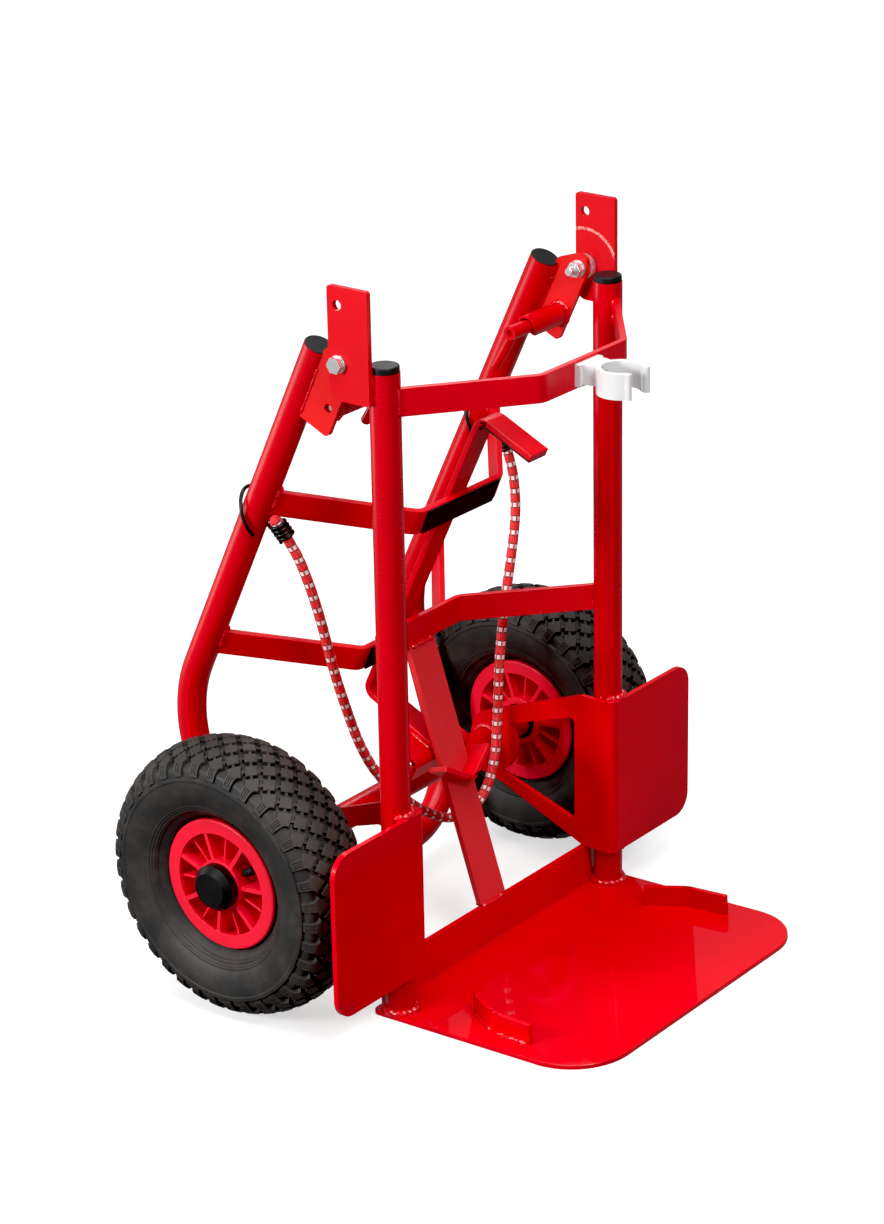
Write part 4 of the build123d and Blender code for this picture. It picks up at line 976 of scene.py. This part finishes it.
class CART_OT_weld_beads(bpy.types.Operator):
    """Lays the painted weld beads where plates, bars and tubes meet"""

    bl_idname = "cart.weld_beads"
    bl_label = "Weld beads"

    def execute(self, context):
        r = context.scene.cart.sizes.bead / MM
        chassis, plate, handle = self.on_frame(r), self.on_toe_plate(r), self.on_the_handle(r)
        chassis = [weld(lean(line) / MM, *more) for line, *more in chassis] + [weld(*bead) for bead in plate]
        handle = [weld(on_handle(line) / MM, *more) for line, *more in handle]
        for body, beads in (("chassis", chassis), ("handle", handle)):
            points, faces = joined(beads)
            add_piece(f"{body}_welds", points * MM, faces, body, material_of("weld_paint"))
        return {"FINISHED"}

    @staticmethod
    def down(x, y, low, high, radius):
        """Straight bead along z, or along u on the handle."""
        return np.array([[x, y, low], [x, y, high]]), radius, X_WAY

    @staticmethod
    def wide(x, y, z, radius):
        """Straight bead along x, as far to either side."""
        return np.array([[-x, y, z], [x, y, z]]), radius, Y_WAY

    def on_frame(self, r):
        """Beads of the upright frame: tube feet, axle tube, front bars, hinge and axle plates, and strut."""
        beads = []
        foot_height = 4.8
        foot = (foot_height - WHEEL_R - UPRIGHT_Y * math.sin(LEAN)) / math.cos(LEAN) + WHEEL_R
        flat = (0, math.cos(LEAN), -math.sin(LEAN))
        # Rings by x, radius and share of the bead; bars by end, middle and top; seams by inset, y and share
        axle_rings = ((142.2, 13.4, 1.0), (148.0, 20.2, 0.9))
        front_bars, middle_x = ((-9.0, -219.6, 595.3), (7.0, -33.0, 314.0)), 60.0
        hinge_seams, hinge_span = ((0.6, -129.6, 0.5), (1.0, -125.0, 0.8)), (582.0, 604.0)
        wing_top, wing_height = 203.2, 156.4
        arm_x, arm_y, arm_span = 147.8, -123.0, (62.0, 192.0)
        for _, sign in SIDES:
            tube = (sign * UPRIGHT_X, UPRIGHT_Y)
            beads.append((ring_points(*tube, foot, TUBE_R + 0.6, X_WAY, flat), 1.5 * r, Z_WAY, True))
            for x, radius, share in axle_rings:
                ring = ring_points(sign * x, 0, WHEEL_R, radius, Y_WAY, Z_WAY)
                beads.append((ring, share * r, X_WAY, True))
            for end_y, mid_y, top in front_bars:
                end = (tube[0], UPRIGHT_Y + end_y)
                way = (sign * (middle_x - UPRIGHT_X), mid_y - end[1])
                copes = cope_points(end, way, tube)
                beads += [self.down(*p, top - BAR_W + 1.0, top - 1.0, 0.6 * r) for p in copes]
            for inset, y, share in hinge_seams:
                beads.append(self.down(sign * (HINGE_X - inset), y, *hinge_span, share * r))
            front = (-150, -30) if sign > 0 else (210, 330)
            arc = ring_points(*tube, wing_top, TUBE_R + 0.8, X_WAY, Y_WAY, *front)
            beads.append((arc, 1.5 * r, Z_WAY))
            beads.append((arc - wing_height * Z_WAY, 1.2 * r, Z_WAY))
            beads.append(self.down(sign * arm_x, arm_y, *arm_span, r))
        strut_ends = ((17.0, -36.6, 288.0), (17.0, -29.4, 288.0), (17.5, -114.8, 47.0), (17.5, -107.8, 47.2))
        return beads + [self.wide(*place, r) for place in strut_ends]

    def on_toe_plate(self, r):
        """Beads on the toe plate, which doesn't lean: along both stops, and a fine seam at its upstand."""
        beads = []
        tip, knee, heel = np.array([(155.0, -73.0), (152.0, -31.0), (132.0, 5.0)])
        off, inset, origin_y, height = 2.9, 4, AXLE_Y - 194.0, 4.6
        for _, sign in SIDES:
            for a, b in ((knee, tip), (heel, knee)):
                way = unit(b - a)
                p = np.array([a + way * inset, b - way * inset]) + off * np.array([-way[1], way[0]])
                line = np.stack([sign * p[:, 0], p[:, 1] + origin_y, np.full(2, height)], -1)
                beads.append((line, 0.8 * r, Z_WAY))
        beads.append((np.array([[-145.0, -5.3, 4.5], [147.0, -5.3, 4.5]]), 0.28 * r, Z_WAY))
        return beads

    def on_the_handle(self, r):
        """Beads of the folded handle: rest bars, brackets, lock sleeves, spine bar and foot plate."""
        beads = []
        bracket_x, bracket_faces, bracket_span = 164.2, (0.2, 4.8), (24.0, 74.0)
        sleeve_x, sleeve_u, sleeve_r = 163.6, 51.0, 10.9
        spine_x, spine_w = 12.8, -57.6
        foot_line, foot_x, foot_u, foot_span = (12.0, -113.4, 402.6), 13.0, 401.6, (-143.0, -117.0)
        for _, sign in SIDES:
            for _, top in REST_BARS:
                end = (sign * UPRIGHT_X, HANDLE_W - 9.0)
                way = (sign * (REST_X - UPRIGHT_X), REST_W - end[1])
                copes = cope_points(end, way, (sign * UPRIGHT_X, HANDLE_W))
                beads += [self.down(*p, top + 1.0, top + BAR_W - 1.0, r) for p in copes]
            for x in (bracket_x + face for face in bracket_faces):
                w = HANDLE_W - math.sqrt(TUBE_R**2 - (x - UPRIGHT_X) ** 2) - 0.2
                beads.append(self.down(sign * x, w, *bracket_span, 0.6 * r))
            ring = ring_points(sign * sleeve_x, 0, sleeve_u, sleeve_r, Y_WAY, Z_WAY)
            beads.append((ring, 0.85 * r, X_WAY, True))
        for _, top in REST_BARS:
            span = (top + 3.0, top + BAR_W - 3.0)
            beads += [self.down(sign * spine_x, spine_w, *span, 0.8 * r) for _, sign in SIDES]
        beads.append(self.wide(*foot_line, r))
        for _, sign in SIDES:
            line = np.array([[sign * foot_x, w, foot_u] for w in foot_span])
            beads.append((line, 0.8 * r, X_WAY))
        return beads


# Elastic cord


def cord_map(faces, run, sides, twist=0.15, start=0.04):
    """Map of a tube per face corner: u is the run in metres, v counts turns round it.

    V starts at start and is turned on by twist for each metre of the run.
    """
    pairs = []
    for face in faces:
        ring = np.asarray(face) // sides
        column = np.asarray(face) % sides
        if len(face) == 4 and column.max() - column.min() > 1:
            column = np.where(column == 0, sides, column)
        pairs.append(np.stack([run[ring], column / sides + twist * run[ring] + start], -1))
    return np.concatenate(pairs)


class CART_OT_elastic_cord(bpy.types.Operator):
    """Hangs the elastic cord between its two hooks on the folded handle"""

    bl_idname = "cart.elastic_cord"
    bl_label = "Elastic cord"

    def execute(self, context):
        diameter = context.scene.cart.sizes.cord_diameter
        route = lean(CORD_ROUTE)
        curve = bpy.data.curves.new("cord_route", "CURVE")
        curve.dimensions = "3D"
        spline = curve.splines.new("NURBS")
        spline.points.add(len(route) - 1)
        spline.points.foreach_set("co", np.concatenate([route, np.ones((len(route), 1))], 1).ravel())
        spline.order_u = 3
        spline.use_endpoint_u = True
        spline.resolution_u = 14
        guide = bpy.data.objects.new("cord_route", curve)
        context.scene.collection.objects.link(guide)
        line_mesh = bpy.data.meshes.new_from_object(guide)
        line = np.zeros(len(line_mesh.vertices) * 3)
        line_mesh.vertices.foreach_get("co", line)
        line = line.reshape(-1, 3)
        bpy.data.meshes.remove(line_mesh)
        bpy.data.objects.remove(guide)
        bpy.data.curves.remove(curve)
        run = run_of(line)
        ends = np.minimum(run, run[-1] - run)
        sides, swell, bulb_length, tip, tip_length = 20, 0.36, 0.0065, 0.55, 0.004
        bulb = 1 + swell * np.sqrt(np.clip(1 - (ends / bulb_length) ** 2, 0, 1))
        bulb *= np.clip(tip + ends / tip_length, 0, 1)
        points, faces = tube_along(line, diameter / 2 * bulb, sides, Y_WAY)
        uv = cord_map(faces, run, sides)
        cord = add_piece("cord_cover", points, faces, "handle", material_of("cord"), uv)
        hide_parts("elastic_cord")
        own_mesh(cord)
        return {"FINISHED"}


# Stage


def turned_frame(right, up, back, place):
    """Matrix of a camera or lamp from its three axes and its place."""
    matrix = np.eye(4)
    matrix[:3] = np.stack([right, up, back, place], -1)
    return Matrix(matrix.tolist())


def photo_camera():
    """Camera matrix at the photograph's viewpoint: three unit axes and a place, turned with the frame."""
    az, el, roll = math.radians(-51.83), math.radians(21.85), math.radians(-1.15)
    target, aside, above, distance = np.array([0.0, -40.0, 330.0]), 16.09, -10.86, 3177.13
    back = np.array([math.sin(az) * math.cos(el), -math.cos(az) * math.cos(el), math.sin(el)])
    right = np.array([math.cos(az), math.sin(az), 0.0])
    up = np.cross(back, right)
    right, up = math.cos(roll) * right + math.sin(roll) * up, -math.sin(roll) * right + math.cos(roll) * up
    place = target + aside * right + above * up + distance * back
    return turned_frame(lean_way(right), lean_way(up), lean_way(back), lean(place))


def aimed(place, way):
    """Matrix of a lamp at a place, with its -Z along the given direction."""
    back = -unit(way)
    right = unit(np.cross(Z_WAY, back))
    return turned_frame(right, np.cross(back, right), back, place)


def add_stage(name, rings, material, flip, hidden_from, sides=96):
    """Staged surface: one circle about Z for each (radius, height) pair, hidden from some kinds of ray."""
    turn = np.linspace(0, 2 * math.pi, sides, endpoint=False)
    radius, height = np.array(rings)[:, 0, None], np.array(rings)[:, 1, None]
    points = np.stack(np.broadcast_arrays(radius * np.cos(turn), radius * np.sin(turn), height), -1)
    faces = grid_faces(len(rings), sides, wrap_cols=True)
    mesh = bpy.data.meshes.new(name)
    mesh.from_pydata(points.reshape(-1, 3).tolist(), [], (faces[:, ::-1] if flip else faces).tolist())
    mesh.materials.append(material)
    surface = bpy.data.objects.new(name, mesh)
    bpy.context.scene.collection.objects.link(surface)
    for ray in hidden_from:
        setattr(surface, f"visible_{ray}", False)


class CART_OT_stage(bpy.types.Operator):
    """Sets the pale floor, the soft lights and the camera"""

    bl_idname = "cart.stage"
    bl_label = "Stage"

    def execute(self, context):
        scene = context.scene
        self.add_camera(scene)
        white, black = (1.0, 1.0, 1.0), (0.0, 0.0, 0.0)
        material, tree, shader = new_material("pale_floor")
        colour = tuple(scene.cart.finish.floor)
        mottle = ranged(noise(object_point(tree), 3.0), 0.3, 0.7)
        mottled = mix_colour(mottle, colour, tuple(c * 0.985 for c in colour))
        fill(shader, Base_Color=mottled, Roughness=0.85, Emission_Color=white, Emission_Strength=0.6)
        rings = [(reach, 0.0) for reach in (0.0, 2.0, 8.0, 40.0)]
        add_stage("pale_floor", rings, material, True, ("glossy", "diffuse"))
        material, _, shader = new_material("pale_backdrop")
        fill(shader, Base_Color=black, Specular_IOR_Level=0.0, Emission_Color=white, Emission_Strength=1.0)
        rings = [(39.9, -0.1), (39.9, 25.0)]
        add_stage("pale_backdrop", rings, material, False, ("glossy", "diffuse", "shadow"))

        world = bpy.data.worlds.new("studio")
        world.use_nodes = True
        fill(world.node_tree.nodes["Background"].inputs, Color=white, Strength=0.22)
        scene.world = world
        view = scene.view_settings
        view.view_transform = "Standard"
        view.use_curve_mapping = True
        view.curve_mapping.black_level = (0.012, 0.012, 0.012)
        view.curve_mapping.update()
        self.add_lights(scene)
        return {"FINISHED"}

    def add_camera(self, scene):
        """The photograph's camera, from its focal length and the picture's longer side in pixels."""
        data = bpy.data.cameras.new("photo_camera")
        focal, longer, sensor = 3480.98, 1224.0, 36.0
        data.lens, data.sensor_width = sensor * focal / longer, sensor
        data.clip_end = 100.0
        camera = bpy.data.objects.new("photo_camera", data)
        camera.matrix_world = photo_camera()
        scene.collection.objects.link(camera)
        scene.camera = camera

    def add_lights(self, scene):
        """A wide sun from above and soft round lamps, each by its place, size, watts and what it lights.

        The toe plate's clear coat would mirror two of the lamps as white patches, so it takes their light
        from fills that don't show in reflections.
        """
        sun = bpy.data.lights.new("sky_light", "SUN")
        sun.energy, sun.angle = 2.3, math.radians(48)
        holder = bpy.data.objects.new("sky_light", sun)
        holder.matrix_world = aimed((0.0, 0.0, 0.0), (0.16, 0.1, -1.0))
        scene.collection.objects.link(holder)
        plate_only = bpy.data.collections.new("plate_only")
        all_but_plate = bpy.data.collections.new("all_but_plate")
        for group, state in ((plate_only, "INCLUDE"), (all_but_plate, "EXCLUDE")):
            group.objects.link(NODES["toe_plate"])
            group.collection_objects[0].light_linking.link_state = state
        left, low, middle = (-2.3, 0.9, 1.1), (-0.55, 1.15, 0.4), np.array([0.0, 0.0, 0.32])
        for name, place, size, watts, lit in (
            ("left_light", left, 0.7, 52.0, all_but_plate),
            ("left_fill", left, 0.7, 52.0, plate_only),
            ("front_light", (-0.9, -1.8, 1.9), 0.7, 25.0, None),
            ("low_panel", low, 0.65, 2.4, all_but_plate),
            ("low_fill", low, 0.65, 2.4, plate_only),
            ("back_light", (1.6, 1.25, 2.2), 1.0, 15.0, None),
        ):
            lamp = bpy.data.lights.new(name, "AREA")
            lamp.shape, lamp.size, lamp.energy = "DISK", size, watts
            holder = bpy.data.objects.new(name, lamp)
            holder.matrix_world = aimed(place, middle - np.array(place))
            holder.visible_camera = False
            holder.visible_glossy = lit is not plate_only
            holder.light_linking.receiver_collection = lit
            scene.collection.objects.link(holder)


class CART_PT_panel(bpy.types.Panel):
    """Lists the cart's settings and steps"""

    bl_label = "Folding cart"
    bl_idname = "CART_PT_panel"
    bl_space_type = "VIEW_3D"
    bl_region_type = "UI"
    bl_category = "Cart"

    def draw(self, context):
        settings = context.scene.cart
        for group in (settings.finish, settings.sizes):
            box = self.layout.box()
            for key in group.bl_rna.properties.keys():
                if key not in ("rna_type", "name"):
                    box.prop(group, key)
        for operator in OPERATORS:
            self.layout.operator(operator.bl_idname)


OPERATORS = (
    CART_OT_stage,
    CART_OT_elastic_cord,
    CART_OT_paint_frame,
    CART_OT_metal_fittings,
    CART_OT_plastic_fittings,
    CART_OT_tyres,
    CART_OT_valves,
    CART_OT_rubber_pads,
    CART_OT_weld_beads,
)
CLASSES = (CartFinish, CartSizes, CartSettings, *OPERATORS, CART_PT_panel)


def register():
    for cls in CLASSES:
        bpy.utils.register_class(cls)
    bpy.types.Scene.cart = PointerProperty(type=CartSettings)


def unregister():
    del bpy.types.Scene.cart
    for cls in reversed(CLASSES):
        bpy.utils.unregister_class(cls)


def main():
    register()
    bpy.ops.cart.stage()
    bpy.ops.cart.elastic_cord()
    bpy.ops.cart.paint_frame()
    bpy.ops.cart.metal_fittings()
    bpy.ops.cart.plastic_fittings()
    bpy.ops.cart.tyres()
    bpy.ops.cart.valves()
    bpy.ops.cart.rubber_pads()
    bpy.ops.cart.weld_beads()
    bpy.context.view_layer.update()


if __name__ == "__main__":
    main()
